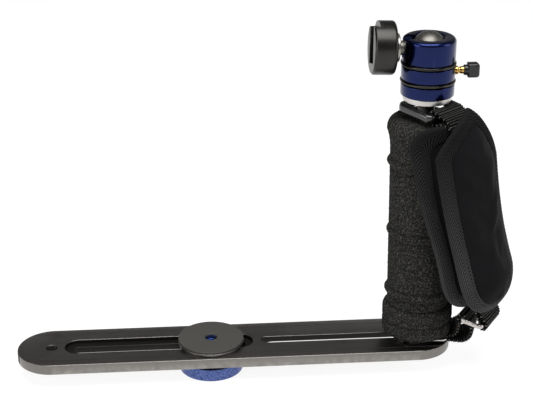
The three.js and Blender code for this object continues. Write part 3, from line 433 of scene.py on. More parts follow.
def turned(outline, axis_x=0.0, edge=0.25, sides=112, steps=3):
    """A lathe-turned piece round a vertical axis, its outline closed, corners eased."""
    profile = eased(outline, edge, steps) if edge else outline
    count = len(profile)
    turns = np.linspace(0, 2 * math.pi, sides, endpoint=False)
    points = [(axis_x + r * math.cos(a), r * math.sin(a), z) for a in turns for r, z in profile]
    faces = []
    for k in range(sides):
        here, after = k * count, (k + 1) % sides * count
        for i in range(count):
            j = (i + 1) % count
            if profile[i][0] > 0.001 or profile[j][0] > 0.001:
                faces.append((here + i, here + j, after + j, after + i))
    return mesh_of(points, faces)


def washer(outer, inner, bottom, top, axis_x=0.0, edge=0.25, sides=112):
    """A turned ring."""
    return turned([(inner, bottom), (outer, bottom), (outer, top), (inner, top)], axis_x, edge, sides)


def arc_of(middle, radius, first, last, steps):
    """Points of radius and height on an arc round a middle, angles in degrees from outwards up."""
    angles = np.radians(np.linspace(first, last, steps + 1))
    return [(middle[0] + radius * math.cos(a), middle[1] + radius * math.sin(a)) for a in angles]


def centred(tree, place, x=0.0, y=0.0, z=0.0, turn=(0.0, 0.0, 0.0)):
    """The position measured from a piece's own axis, in millimetres."""
    moved = add_node(tree, "ShaderNodeVectorMath", {0: place, 1: (x * mm, y * mm, z * mm)},
                     operation="SUBTRACT")
    if not any(turn):
        return moved.outputs[0]
    turned_by = add_node(tree, "ShaderNodeMapping", {"Vector": moved.outputs[0], "Rotation": turn})
    return turned_by.outputs[0]


def turned_metal(name, light, dark, roughness, metallic=1.0, axis=(0.0, 0.0, 0.0), turn=(0.0, 0.0, 0.0),
                 fineness=1100.0, edge_brightening=0.3, bright_edge_color=(0.6, 0.6, 0.62), depth=0.012, blasted=0.0, **more):
    """Turned metal round an axis: rings of the tool, or the speckle of blasting, and bright edges: rubbed on
    most pieces, a painted highlight on the black bands.
    """
    material, tree, shader, place = finish_named(name, light, roughness, metallic, **more)
    marks = join_effect(tree, TURNING_LINES, {"Position": centred(tree, place, *axis, turn=turn),
                                              "Fineness": fineness})
    edge_mask = join_effect(tree, BRIGHT_EDGES, {"Position": place, "Amount": edge_brightening})
    grain = join_effect(tree, FINE_GRAIN, {"Position": place, "Fineness": 1300.0})
    speckle = remapped(tree, grain["Height"], 0.38, 0.62)
    mixed = add_node(tree, "ShaderNodeMix", {0: blasted, 2: marks["Tone"], 3: speckle})
    edged = blend_tones(tree, edge_mask["Mask"], blend_tones(tree, mixed.outputs[0], dark, light), bright_edge_color)
    tree.links.new(edged, shader.inputs["Base Color"])
    vary_roughness(tree, shader, marks["Tone"], roughness - 0.05, roughness + 0.06)
    raise_surface(tree, shader, marks["Height"], depth, 0.6)
    return material


knob_blue = turned_metal("knob_blue", (0.14, 0.185, 0.42), (0.03, 0.055, 0.18), 0.36, edge_brightening=0.2, blasted=0.8,
                         bright_edge_color=(0.3, 0.38, 0.75))
knob_radius, knob_top = span("camera_knob", 0)[1], span("camera_knob", 2)[1]
bore, knob_hub, knob_rim, knob_relief = 3.25, 5.0, 16.9, 0.35
socket_floor = knob_top - 5.0
knob_outline = [(0, 0), (knob_hub, 0), (knob_hub + 0.2, knob_relief), (knob_rim - 0.3, knob_relief),
                (knob_rim, 0), (knob_radius, 0),
                (knob_radius, knob_top), (bore, knob_top), (bore, socket_floor), (0, socket_floor)]
fit_piece("blue_camera_knob", turned(knob_outline, edge=0.8, steps=5), knob_blue, "camera_knob",
          ["camera_knob"])

screw_bottom, screw_tip = span("camera_screw", 2)
screw_radius, thread_pitch, thread_depth, tip_radius = 3.1, 1.27, 0.45, 1.3


def threaded(radius, bottom, top, tip, pitch, depth, sides=64, per_turn=8):
    """A screw with a helical thread that fades out below a rounded tip."""
    points = []
    rows = int((top - bottom) / pitch * per_turn)
    turns = np.linspace(0, 2 * math.pi, sides, endpoint=False)
    for i in range(rows + 1):
        height = bottom + (top - bottom) * i / rows
        room = min(1.0, (top - height) / tip)
        rounded = radius - tip + tip * math.sqrt(max(0.0, 1 - (1 - room) ** 2)) if room < 1 else radius
        fade = max(0.0, min(1.0, (top - tip * 1.2 - height) / pitch, (height - bottom) / pitch + 0.2))
        for a in turns:
            phase = (height / pitch - a / (2 * math.pi)) % 1.0
            flank = min(1.0, 2.6 * abs(phase - 0.5))
            r = rounded - depth * fade * (1 - flank)
            points.append((r * math.cos(a), r * math.sin(a), height))
    return mesh_of(points, ring_quads(rows + 1, sides, capped=True))


screw_blue = turned_metal("screw_blue", (0.02, 0.045, 0.2), (0.012, 0.03, 0.14), 0.2, edge_brightening=0.5,
                          bright_edge_color=(0.3, 0.35, 0.6))
fit_piece("blue_camera_screw", threaded(screw_radius, screw_bottom, screw_tip, tip_radius, thread_pitch,
                                        thread_depth), screw_blue, "camera_knob", ["camera_screw"],
          50)

# Camera seat: a black washer under the rail, a guide that runs in the recess, and on top a
# thin metal disc faced with rubber, which the camera's base is drawn down on.


def moulded(name, color, dark, roughness, fineness=2500.0, depth=0.03, edge_brightening=0.35, **more):
    """Rubber or plastic with a fine moulded grain."""
    material, tree, shader, place = finish_named(name, color, roughness, 0.0, **more)
    grain = join_effect(tree, FINE_GRAIN, {"Position": place, "Fineness": fineness})
    edge_mask = join_effect(tree, BRIGHT_EDGES, {"Position": place, "Amount": edge_brightening})
    lighter = tuple(min(1.0, c * 2.2 + 0.02) for c in color)
    toned = blend_tones(tree, grain["Tone"], dark, color)
    tree.links.new(blend_tones(tree, edge_mask["Mask"], toned, lighter), shader.inputs["Base Color"])
    vary_roughness(tree, shader, grain["Tone"], roughness - 0.06, roughness + 0.08)
    raise_surface(tree, shader, grain["Height"], depth, 0.6)
    return material


seat_rubber = moulded("seat_rubber", (0.07, 0.066, 0.06), (0.045, 0.043, 0.039), 0.75, edge_brightening=0.0)
washer_rubber = moulded("washer_rubber", (0.03, 0.03, 0.03), (0.015, 0.015, 0.015), 0.7)
disc_black = turned_metal("disc_black", (0.2, 0.19, 0.18), (0.13, 0.125, 0.12), 0.38)
disc_bottom, disc_top = span("camera_disc", 2)
facing_top = span("disc_facing", 2)[1]
seat_radius, seat_bore = span("camera_disc", 1)[1], 3.4
fit_piece("seat_disc", washer(seat_radius, seat_bore, disc_bottom - 0.25, disc_top, edge=0.35), disc_black,
          "camera_carriage", ["camera_disc"])
fit_piece("seat_facing", turned([(seat_bore, disc_top), (seat_radius - 0.1, disc_top),
                                 (seat_radius - 0.1, facing_top), (seat_bore + 0.5, facing_top),
                                 (seat_bore, facing_top - 0.4)], edge=0.55, steps=4), seat_rubber,
          "camera_carriage", ["disc_facing"])
fit_piece("knob_washer_ring", washer(12.9, bore, knob_top, rail_bottom - 0.04, edge=0.4), washer_rubber,
          "camera_carriage", ["knob_washer"])

# Handle's fixing: a hexagon socket screw and washer in the rail's counterbore, and turned
# aluminium plugs that close the core tube at both ends; the top one carries the neck.

handle_x = sum(span("foam_grip", 0)) / 2
handle_line = (handle_x, 0.0, 0.0)
bright_steel = turned_metal("bright_steel", (0.62, 0.6, 0.57), (0.45, 0.435, 0.415), 0.28, axis=handle_line,
                            edge_brightening=0.1, bright_edge_color=(0.8, 0.8, 0.8))
plain_aluminium = turned_metal("plain_aluminium", (0.68, 0.656, 0.626), (0.5, 0.482, 0.46), 0.34,
                               axis=handle_line, edge_brightening=0.1, bright_edge_color=(0.8, 0.8, 0.8))
dark_aluminium = turned_metal("dark_aluminium", (0.1, 0.1, 0.1), (0.06, 0.06, 0.06), 0.4,
                              axis=handle_line, edge_brightening=0.2)
plug_radius, stud_bore, plug_neck = 9.7, 3.3, 4.6
fixing_radius, shank_radius, fixing_gap = 7.2, 3.0, 0.05
head_bottom, shank_top = span("handle_screw", 2)
washer_bottom, washer_top = span("handle_washer", 2)
screw_head = turned([(0, head_bottom), (fixing_radius, head_bottom),
                     (fixing_radius, washer_bottom - fixing_gap),
                     (shank_radius, washer_bottom - fixing_gap), (shank_radius, shank_top), (0, shank_top)],
                    handle_x, 0.4)
six = np.radians(np.arange(0, 360, 60))
hexagon = 2.9
socket = stacked([([(handle_x + r * math.cos(a), r * math.sin(a)) for a in six], z)
                  for r, z in ((hexagon + 1.5, head_bottom - past), (hexagon + 0.2, head_bottom),
                               (hexagon, head_bottom + 0.3), (hexagon, head_bottom + 1.2))])
fit_piece("handle_fixing_screw", combined(screw_head, [socket]), bright_steel, "handle_carriage",
          ["handle_screw"])
fit_piece("handle_fixing_washer", washer(fixing_radius, stud_bore, washer_bottom, washer_top, handle_x, 0.15),
          bright_steel, "handle_carriage", ["handle_washer"])
boss_bottom, plug_top = span("bottom_plug", 2)
tube_bottom, tube_top = span("core_tube", 2)
boss_radius, thread_top = 4.8, boss_bottom + 19.7
lower_plug = turned([(stud_bore, boss_bottom), (boss_radius, boss_bottom), (boss_radius, tube_bottom),
                     (plug_radius, tube_bottom), (plug_radius, plug_top), (0, plug_top),
                     (0, thread_top), (stud_bore, thread_top)], handle_x, 0.2)
fit_piece("lower_plug", lower_plug, plain_aluminium, "handle", ["bottom_plug"])
plug_floor, neck_top = span("top_plug", 2)
stud_foot = span("head_stud", 2)[0] - 0.3
upper_plug = turned([(0, plug_floor), (plug_radius, plug_floor), (plug_radius, tube_top),
                     (plug_neck, tube_top), (plug_neck, neck_top), (stud_bore, neck_top),
                     (stud_bore, stud_foot), (0, stud_foot)], handle_x, 0.2)
fit_piece("upper_plug", upper_plug, dark_aluminium, "handle", ["top_plug"])

# Foam grip: a moulded sleeve of black cell rubber over the core tube, with a foot, three
# thin raised rings and a flare under the head, closed on top by a thin skin round the neck.

foam_bottom, foam_top = span("foam_grip", 2)
foam_bore, foot_radius, foot_height = 13.3, 20.2, 18.0
grip_low, grip_high, flare_radius, flare_height, flare_length, flare_edge = 17.7, 19.0, 21.2, 7.2, 13.0, 7.0
ring_places, ring_radii, ring_half = (0.2015, 0.481, 0.799), (19.7, 19.6, 20.7), 2.1
foot_groove, groove_reach, groove_inset = 8.5, 1.1, 0.9
foot_edge, foot_shoulder, valley_radius = 2.2, 3.0, 16.9
neck_hole, end_skin = 4.8, 0.35


def grip_outline():
    """The sleeve's section: out at the foot, up its side and in over the flare."""
    foot_top = foam_bottom + foot_height
    flare_start = foam_top - flare_height - flare_length

    def plain(height):
        share = (height - foot_top) / (flare_start - foot_top)
        return grip_low + (grip_high - grip_low) * share

    outline = [(foam_bore, foam_bottom)]
    outline += arc_of((foot_radius - foot_edge, foam_bottom + foot_edge), foot_edge, -90, 0, 6)
    for z in np.arange(foam_bottom + 3, foot_top - 3.4, 0.4):
        off = abs(z - foam_bottom - foot_groove) / groove_reach
        outline.append((foot_radius - groove_inset * max(0.0, 1 - off * off), z))
    outline += arc_of((foot_radius - foot_shoulder, foot_top - foot_shoulder), foot_shoulder, 0, 72, 7)
    outline += [(valley_radius, foot_top + 0.2)]
    for height in np.arange(foot_top + 0.6, flare_start, 0.3):
        radius = plain(height)
        for place, crest in zip(ring_places, ring_radii):
            middle = foam_bottom + place * (foam_top - foam_bottom)
            off = abs(height - middle) / ring_half
            if off < 1:
                radius += (crest - plain(middle)) * (1 - off) ** 0.8
            elif off < 1.6:
                radius -= (0.75 if height > middle else 0.3) * math.sin(math.pi * (off - 1) / 0.6)
        outline.append((radius, height))
    outline += [(grip_high + (flare_radius - grip_high) * s * s, flare_start + s * flare_length)
                for s in np.linspace(0, 1, 16)]
    outline += arc_of((flare_radius - flare_edge, foam_top - flare_edge), flare_edge, 0, 90, 14)
    return outline + [(neck_hole, foam_top), (neck_hole, foam_top - end_skin),
                      (foam_bore, foam_top - end_skin)]


def shape_tree(name, numbers):
    """A Geometry Nodes tree that takes a shape and named numbers, and its two ends."""
    tree = bpy.data.node_groups.new(name, "GeometryNodeTree")
    tree.interface.new_socket("Geometry", in_out="INPUT", socket_type="NodeSocketGeometry")
    for label, value in numbers.items():
        tree.interface.new_socket(label, in_out="INPUT", socket_type=NUMBER).default_value = value
    tree.interface.new_socket("Finish", in_out="INPUT", socket_type="NodeSocketMaterial")
    tree.interface.new_socket("Geometry", in_out="OUTPUT", socket_type="NodeSocketGeometry")
    return tree, tree.nodes.new("NodeGroupInput").outputs, tree.nodes.new("NodeGroupOutput").inputs


def end_shape(tree, given, result, geometry):
    """Gives the made geometry its finish and hands it out."""
    done = add_node(tree, "GeometryNodeSetMaterial", {"Geometry": geometry, "Material": given["Finish"]})
    tree.links.new(done.outputs[0], result["Geometry"])
    return tree


def shaped_by(data, tree, finish, **numbers):
    """The plain mesh that a Geometry Nodes tree makes of a mesh or a curve."""
    def prepare(holder):
        nodes = holder.modifiers.new("shaping", "NODES")
        nodes.node_group = tree
        for item in tree.interface.items_tree:
            if item.in_out != "INPUT" or item.socket_type == "NodeSocketGeometry":
                continue
            wanted = finish if item.name == "Finish" else numbers.get(item.name)
            if wanted is not None:
                nodes[item.identifier] = wanted
    return evaluated_mesh(data, prepare)


def open_cells():
    """Pushes a skin in and out by fine noise, as burst cells do."""
    tree, given, result = shape_tree("open_cells", {"cell_size": 0.9 * mm, "depth": 0.32 * mm})
    place = add_node(tree, "GeometryNodeInputPosition").outputs[0]
    scale = worked(tree, "DIVIDE", 1.0, given["cell_size"])
    cells = add_node(tree, "ShaderNodeTexVoronoi", {"Vector": place, "Scale": scale}, feature="F1")
    broad = noise_on(tree, place, 500.0, 3.0)
    rough = plus(tree, worked(tree, "SUBTRACT", cells.outputs["Distance"], 0.5),
                 worked(tree, "SUBTRACT", broad, 0.5))
    push = add_node(tree, "ShaderNodeVectorMath", {0: add_node(tree, "GeometryNodeInputNormal").outputs[0],
                                                   "Scale": times(tree, rough, given["depth"])},
                    operation="SCALE")
    moved = add_node(tree, "GeometryNodeSetPosition",
                     {"Geometry": given["Geometry"], "Offset": push.outputs[0]})
    return end_shape(tree, given, result, moved.outputs[0])


def foam_finish():
    """Cell rubber, dull all over: painted shade makes the pits near black between lighter burst walls, and
    the light specks are painted glints.
    """
    material, tree, shader, place = finish_named("grip_foam", (0.05, 0.05, 0.048), 0.9, 0.0,
                                                 Specular_IOR_Level=0.05)
    cells = add_node(tree, "ShaderNodeTexVoronoi", {"Vector": place, "Scale": 1500.0},
                     feature="DISTANCE_TO_EDGE")
    walls_lit_pits_shaded = remapped(tree, cells.outputs[0], 0.0, 0.2, 1.0, 0.0)
    patch = noise_on(tree, place, 1100.0, 2.0)
    painted_glint_specks = remapped(tree, patch, 0.5, 0.62)
    mixed = plus(tree, times(tree, walls_lit_pits_shaded, 0.45), times(tree, painted_glint_specks, 0.55))
    # painted shade and painted glints: the colour runs from near black in the cell pits up to a lighter tone
    # on the walls and specks
    color = blend_tones(tree, mixed, (0.001, 0.001, 0.001), (0.095, 0.093, 0.086))
    tree.links.new(color, shader.inputs["Base Color"])
    raise_surface(tree, shader, mixed, 0.25, 0.8)
    return material


grip_foam = foam_finish()
foam_mesh = shaped_by(turned(grip_outline(), handle_x, 0, 300), open_cells(), grip_foam)
fit_piece("foam_sleeve", foam_mesh, grip_foam, "handle", ["foam_grip"], 70)

# Hand pads: two layers of neoprene over foam, a thick outer one and a thin inner one that the
# hand slides between and the handle. They follow the hand: twisted, arched and drawn in below.

strap_turn, foam_reach, stand_off = -50.0, 21.2, 23.8
pad_half, tape_width, tape_half = 26.0, 7.5, 1.8
drift, twist_most, twist_from, twist_to = 0.12, 5.0, 0.15, 0.75
link_level = span("lower_ring", 2)[1] + 15.6


def smooth_place(points, share, closed=False):
    """A place at a share of the way along a smooth line through points."""
    count = len(points)
    at = (count if closed else count - 1) * share
    i = int(math.floor(at))
    part = at - i
    if not closed and i >= count - 1:
        i, part = count - 2, 1.0
    before = points[i - 1] if closed or i > 0 else 2 * points[0] - points[1]
    start, end = points[i % count], points[(i + 1) % count]
    after = points[(i + 2) % count] if closed or i + 2 < count else 2 * points[-1] - points[-2]
    d0, d1, d2 = (max(np.dot(q - p, q - p), 1e-12) ** 0.25
                  for p, q in ((before, start), (start, end), (end, after)))
    t1 = ((start - before) / d0 - (end - before) / (d0 + d1) + (end - start) / d1) * d1
    t2 = ((end - start) / d1 - (after - start) / (d1 + d2) + (after - end) / d2) * d1
    c2, c3 = -3 * start + 3 * end - 2 * t1 - t2, 2 * start - 2 * end + t1 + t2
    return start + t1 * part + c2 * part ** 2 + c3 * part ** 3


def pad_form(line, arch, top, bottom, skews, ends):
    """What a pad is bent over: its middle line, the arch of its sides and the turn of its ends."""
    drop = top - bottom
    points = [np.array((foam_reach + out * stand_off, 0.0, top - down * drop)) for out, down in line]
    samples = np.array([smooth_place(points, i / 600) for i in range(601)])
    steps = np.linalg.norm(np.diff(samples, axis=0), axis=1)
    return {"samples": samples, "lengths": np.concatenate(([0], np.cumsum(steps))), "arch": np.array(arch),
            "top": top, "drop": drop, "skews": skews, "ends": ends}


def pad_point(form, along, across):
    """Places on a pad's middle surface, at lengths along its line and places across it."""
    x = np.interp(along, form["lengths"], form["samples"][:, 0])
    z = np.interp(along, form["lengths"], form["samples"][:, 2])
    down = (form["top"] - z) / form["drop"]
    share = np.clip((down - twist_from) / (twist_to - twist_from), 0, 1)
    twist = np.radians(twist_most) * share * share * (3 - 2 * share)
    side = across / pad_half
    back = np.interp(down, form["arch"][:, 0], form["arch"][:, 1]) * pad_half * side * side
    skew = np.radians(form["skews"][0] + (form["skews"][1] - form["skews"][0]) * down)
    return np.stack([x - back * np.cos(twist) - across * np.sin(twist),
                     across * np.cos(twist) - back * np.sin(twist) + drift * (foam_top - z),
                     z - across * np.tan(skew)], axis=-1)


def pad_place(form, along, across, height):
    """Places off a pad's middle surface, and the way off it, turned to the strap's side."""
    step = pad_half * 0.02
    middle = pad_point(form, along, across)
    rise = pad_point(form, along - step, across) - pad_point(form, along + step, across)
    run = pad_point(form, along, across + step) - pad_point(form, along, across - step)
    off = np.cross(run, rise)
    off /= np.linalg.norm(off, axis=-1, keepdims=True)
    placed = middle + off * np.asarray(height)[..., None]
    turn = math.radians(strap_turn)
    spin = np.array([[math.cos(turn), -math.sin(turn), 0], [math.sin(turn), math.cos(turn), 0], [0, 0, 1]])
    return placed @ spin.T + np.array((handle_x, 0, 0)), off @ spin.T


def pad_stations(form, straight, ends):
    """Stations round a pad's outline: a place on its middle line, and the way out from it."""
    (top_power, top_stretch), (low_power, low_stretch) = form["ends"]
    near, far = pad_half * top_stretch, form["lengths"][-1] - pad_half * low_stretch
    stations = []
    for start, end, side, power, stretch in ((far, near, 1, low_power, low_stretch),
                                             (near, far, -1, top_power, top_stretch)):
        for i in range(ends):
            angle = math.pi * i / ends
            ahead, beside = (side * math.copysign(abs(v) ** (2 / power), v)
                             for v in (math.sin(angle), math.cos(angle)))
            stations.append((start, ahead * stretch, beside))
        stations += [(start + (end - start) * i / straight, 0.0, -side) for i in range(straight)]
    return np.array(stations)


outer_line = [(0.302, 0), (0.43, 0.041), (0.5, 0.117), (0.538, 0.231), (0.636, 0.405), (0.796, 0.583),
              (0.965, 0.718), (1.097, 0.828), (1.045, 0.921), (0.834, 1)]
outer_arch, outer_top = [(0, 0.27), (1, 0.28)], foam_top + 11.9
inner_line = [(0.078, 0), (0.13, 0.053), (0.141, 0.129), (0.117, 0.225), (0.089, 0.359), (0.194, 0.56),
              (0.369, 0.713), (0.468, 0.837), (0.472, 0.923), (0.345, 1)]
inner_arch = [(0, 0.6), (0.13, 0.62), (0.28, 0.46), (0.42, 0.36), (0.6, 0.25), (1, 0.2)]
outer_form = pad_form(outer_line, outer_arch, outer_top, link_level + 8.5, (13.5, 2.2),
                      ((1.18, 1.16), (1.93, 1.02)))
inner_form = pad_form(inner_line, inner_arch, foam_top, link_level + 7.9, (11.5, 5.6),
                      ((3.05, 0.93), (2.5, 0.86)))


def pad_cushion(form, inside, crown, rim):
    """The cushion before it is filled: crowned faces that run in under the binding tape."""
    straight, ends = 34, 26
    stations = pad_stations(form, straight, ends)
    full = pad_half - tape_width
    shares = np.array([0, 0.14, 0.28, 0.42, 0.55, 0.67, 0.78, 0.88, 0.96, 1.04, 1.1])
    swell = np.clip(1 - np.minimum(shares, 1) ** 2.4, 0, 1)
    section = [(full * s, rim + (crown - rim) * h) for s, h in zip(shares, swell)]
    section += [(full * s, -rim - (inside - rim) * h) for s, h in zip(shares[::-1], swell[::-1])]
    reach, height = np.array(section).T
    count = len(section)
    along = stations[:, None, 0] + reach[None] * stations[:, None, 1]
    placed, _ = pad_place(form, along, reach[None] * stations[:, None, 2],
                          np.broadcast_to(height, along.shape))
    points = placed.reshape(-1, 3)
    faces = []
    for i in range(len(stations)):
        here, after = i * count, (i + 1) % len(stations) * count
        faces += [(here + j, after + j, after + j + 1, here + j + 1) for j in range(count - 1)]
    return mesh_of(points, faces)


def filled(mesh, voxel, pressure, most, hold):
    """Lets a cushion swell as cloth round its filling, held at its edge, then smooths it."""
    shrink, stiffness, bending, frames = -0.05, 12, 0.4, 20
    holder = in_scene("cushion", mesh)
    even = holder.modifiers.new("even", "REMESH")
    even.mode, even.voxel_size = "VOXEL", voxel * mm
    bpy.context.view_layer.update()
    skin = result_of(holder)
    start = np.empty(len(skin.vertices) * 3)
    skin.vertices.foreach_get("co", start)
    start = start.reshape(-1, 3)
    holder = in_scene("cushion", skin)
    pinned = holder.vertex_groups.new(name="sewn")
    weights = hold(start / mm)
    for index, weight in enumerate(weights):
        pinned.add([index], float(weight), "REPLACE")
    cloth = holder.modifiers.new("cloth", "CLOTH")
    settings = cloth.settings
    settings.use_pressure, settings.uniform_pressure_force = True, pressure
    settings.vertex_group_mass = "sewn"
    settings.shrink_min = shrink
    settings.tension_stiffness = settings.compression_stiffness = stiffness
    settings.bending_stiffness = bending
    settings.effector_weights.gravity = 0
    cloth.collision_settings.use_collision = False
    cloth.point_cache.frame_start, cloth.point_cache.frame_end = 1, frames
    for number in range(1, frames + 1):
        bpy.context.scene.frame_set(number)
    swollen = result_of(holder)
    end = np.empty(len(swollen.vertices) * 3)
    swollen.vertices.foreach_get("co", end)
    moved = end.reshape(-1, 3) - start
    size = np.linalg.norm(moved, axis=1, keepdims=True)
    limited = moved * np.minimum(1.0, most * mm / np.maximum(size, 1e-9))
    swollen.vertices.foreach_set("co", (start + limited).ravel())
    swollen.update()
    bpy.context.scene.frame_set(1)

    def prepare(final):
        calm = final.modifiers.new("calm", "CORRECTIVE_SMOOTH")
        calm.iterations, calm.smooth_type, calm.use_only_smooth = 4, "SIMPLE", True
        even_more = final.modifiers.new("finer", "SUBSURF")
        even_more.levels = even_more.render_levels = 1
    return evaluated_mesh(swollen, prepare)


def sewn_edge(form):
    """How firmly each point of a cushion is held: full under the tape, free on the faces."""
    firm, full_to, fade, free_from = 1.15, 1.5, 4.0, 6.5

    def hold(places):
        stations = pad_stations(form, 60, 40)
        rim, _ = pad_place(form, stations[:, 0] + (pad_half - tape_width) * stations[:, 1],
                           (pad_half - tape_width) * stations[:, 2], np.zeros(len(stations)))
        gaps = np.array([np.min(np.linalg.norm(rim - p, axis=1)) for p in places])
        return np.clip(firm - (gaps - full_to) / fade, 0, 1) * (gaps < free_from)
    return hold


def knitted_cloth(name, light, dark):
    """Neoprene's knitted face: a tiny even knit, a soft sheen and a few specks of lint."""
    material, tree, shader, place = finish_named(name, light, 0.85, 0.0, Sheen_Weight=0.02,
                                                 Sheen_Roughness=0.5, Specular_IOR_Level=0.05)
    grain = join_effect(tree, FINE_GRAIN, {"Position": place, "Fineness": 2200.0})
    specks = add_node(tree, "ShaderNodeTexVoronoi", {"Vector": place, "Scale": 150.0}, feature="F1")
    lint = remapped(tree, specks.outputs["Distance"], 0.02, 0.075, 1.0, 0.0)
    rare = noise_on(tree, place, 70.0, 1.0)
    seldom = remapped(tree, rare, 0.56, 0.64, 0.0, 0.8)
    toned = blend_tones(tree, grain["Tone"], dark, light)
    lint_mask = times(tree, lint, seldom)
    tree.links.new(blend_tones(tree, lint_mask, toned, (0.3, 0.3, 0.29)), shader.inputs["Base Color"])
    raise_surface(tree, shader, grain["Height"], 0.05, 0.7)
    return material


outer_inside, outer_crown, outer_rim = 2.4, 5.2, 1.5
inner_inside, inner_crown, inner_rim = 2.1, 2.6, 1.4
pad_cloth = knitted_cloth("pad_cloth", (0.0125, 0.0125, 0.014), (0.0045, 0.0045, 0.005))
outer_sizes, inner_sizes = (outer_inside, outer_crown, outer_rim), (inner_inside, inner_crown, inner_rim)
for pad_name, form, sizes, node in (("outer_hand_pad", outer_form, outer_sizes, "outer_pad"),
                                    ("inner_hand_pad", inner_form, inner_sizes, "inner_pad")):
    cushion = filled(pad_cushion(form, *sizes), 1.9, 3.0, 1.6, sewn_edge(form))
    pad = fit_piece(pad_name, cushion, pad_cloth, "strap", [node], 80)

# Binding tape: a woven herringbone tape folded over each pad's edge all round, and sewn
# through with one row of stitches near its inner edge, on both faces.


def woven_face():
    """Raises a weave on a band that carries its own measures along and across."""
    tree, given, result = shape_tree("woven_face", {"row": 2.0 * mm, "yarn": 1.2 * mm, "height": 0.2 * mm,
                                                    "slant": 0.0, "fold": 0.0})
    along, across = (add_node(tree, "GeometryNodeInputNamedAttribute", {"Name": label},
                              data_type="FLOAT").outputs[0] for label in ("along", "across"))
    folded = worked(tree, "ABSOLUTE", worked(tree, "SUBTRACT", across, given["fold"]))
    row = plus(tree, worked(tree, "DIVIDE", along, given["row"]),
               times(tree, given["slant"], worked(tree, "DIVIDE", folded, given["yarn"])))
    ridge = worked(tree, "COSINE", times(tree, row, 2 * math.pi))
    shift = times(tree, worked(tree, "FLOOR", plus(tree, row, 0.5)), math.pi)
    bead_angle = plus(tree, times(tree, worked(tree, "DIVIDE", across, given["yarn"]),
                                  2 * math.pi), shift)
    bead = times(tree, worked(tree, "COSINE", bead_angle), worked(tree, "SUBTRACT", 1.0, given["slant"]))
    weave = plus(tree, times(tree, ridge, 0.65), times(tree, bead, 0.45))
    lift = times(tree, weave, given["height"])
    push = add_node(tree, "ShaderNodeVectorMath", {0: add_node(tree, "GeometryNodeInputNormal").outputs[0],
                                                   "Scale": lift}, operation="SCALE")
    moved = add_node(tree, "GeometryNodeSetPosition",
                     {"Geometry": given["Geometry"], "Offset": push.outputs[0]})
    kept = add_node(tree, "GeometryNodeStoreNamedAttribute", {"Geometry": moved.outputs[0], "Name": "relief",
                                                              "Value": weave}, data_type="FLOAT")
    return end_shape(tree, given, result, kept.outputs[0])


def banded_mesh(rings, alongs, acrosses, closed):
    """A band from rings of points, carrying each point's measures along and across it."""
    count = len(rings[0])
    points = np.concatenate(rings)
    faces = [(a, d, c, b) for a, b, c, d in ring_quads(len(rings), count, closed)]
    if not closed:
        faces.append(tuple(range(count)))
        faces.append(tuple(range(len(points) - 1, len(points) - count - 1, -1)))
    mesh = mesh_of(points, faces, weld=0)
    for label, values in (("along", np.repeat(alongs, count)), ("across", np.tile(acrosses, len(rings)))):
        measures = mesh.attributes.new(label, "FLOAT", "POINT")
        measures.data.foreach_set("value", (values * mm).astype(np.float32))
    return mesh


def woven_finish(name, light, dark, row, yarn, roughness, painted_low_light, crest):
    """Woven tape or webbing: the weave and painted glints light its rows, painted shade darkens between them,
    and painted light from below makes it paler low down.
    """
    material, tree, shader, place = finish_named(name, light, roughness, 0.0, Specular_IOR_Level=0.05)
    along, across = (add_node(tree, "ShaderNodeAttribute", attribute_name=label).outputs["Fac"]
                     for label in ("along", "across"))
    threads = add_node(tree, "ShaderNodeCombineXYZ", {0: worked(tree, "DIVIDE", along, row * mm),
                                                      1: worked(tree, "DIVIDE", across, yarn * mm)})
    noise = noise_on(tree, threads.outputs[0], 2.2, 3.0)
    grain = join_effect(tree, FINE_GRAIN, {"Position": place, "Fineness": 3000.0})
    mixed = plus(tree, times(tree, noise, 0.6), times(tree, grain["Tone"], 0.4))
    relief = add_node(tree, "ShaderNodeAttribute", attribute_name="relief").outputs["Fac"]
    shown = plus(tree, times(tree, relief, 0.7), mixed)
    # painted glints and painted shade: the relief's crests are lightened in the colour and its hollows
    # darkened
    weave_and_glint_tone = remapped(tree, shown, crest[0], crest[1])
    # painted light: below 0.15 m the colour grows paler, by the factor painted_low_light, as if lit from the
    # floor
    level = add_node(tree, "ShaderNodeSeparateXYZ", {0: place}).outputs[2]
    low = remapped(tree, level, 0.15, 0.05)
    lit_low_down = blend_tones(tree, low, light, tuple(c * painted_low_light for c in light))
    tree.links.new(blend_tones(tree, weave_and_glint_tone, dark, lit_low_down), shader.inputs["Base Color"])
    raise_surface(tree, shader, mixed, 0.08, 0.7)
    return material


WOVEN_FACE = woven_face()
# 4.5 is the painted light low down on the tape; the last pair sets how far its rows are lightened
binding_tape = woven_finish("binding_tape", (0.025, 0.0244, 0.025), (0.002, 0.002, 0.002), 0.8, 0.8, 0.8, 4.5,
                            (0.1, 1.0))
sewing_thread = moulded("sewing_thread", (0.008, 0.008, 0.0085), (0.004, 0.004, 0.004), 0.8, 4000.0,
                        Specular_IOR_Level=0.1)


def tape_section(rim):
    """Section of the folded tape: reach, height and measure along the fold, one face to the other."""
    inner, turn_at = pad_half - tape_width, pad_half - tape_half
    flat = np.linspace(inner, turn_at, 24)
    lift = tape_half * (1 - 0.12 * ((flat - inner) / (turn_at - inner) - 0.5) ** 2)
    angles = np.linspace(math.pi / 2, -math.pi / 2, 13)[1:-1]
    reach = np.concatenate([flat, turn_at + tape_half * np.cos(angles), flat[::-1]])
    height = np.concatenate([lift, tape_half * np.sin(angles), -lift[::-1]])
    measure = np.concatenate(([0], np.cumsum(np.hypot(np.diff(reach), np.diff(height)))))
    reach = np.concatenate(([inner - 0.12], reach, [inner - 0.12]))
    height = np.concatenate(([rim], height, [-rim]))
    return reach, height, np.concatenate(([0], measure, [measure[-1]]))


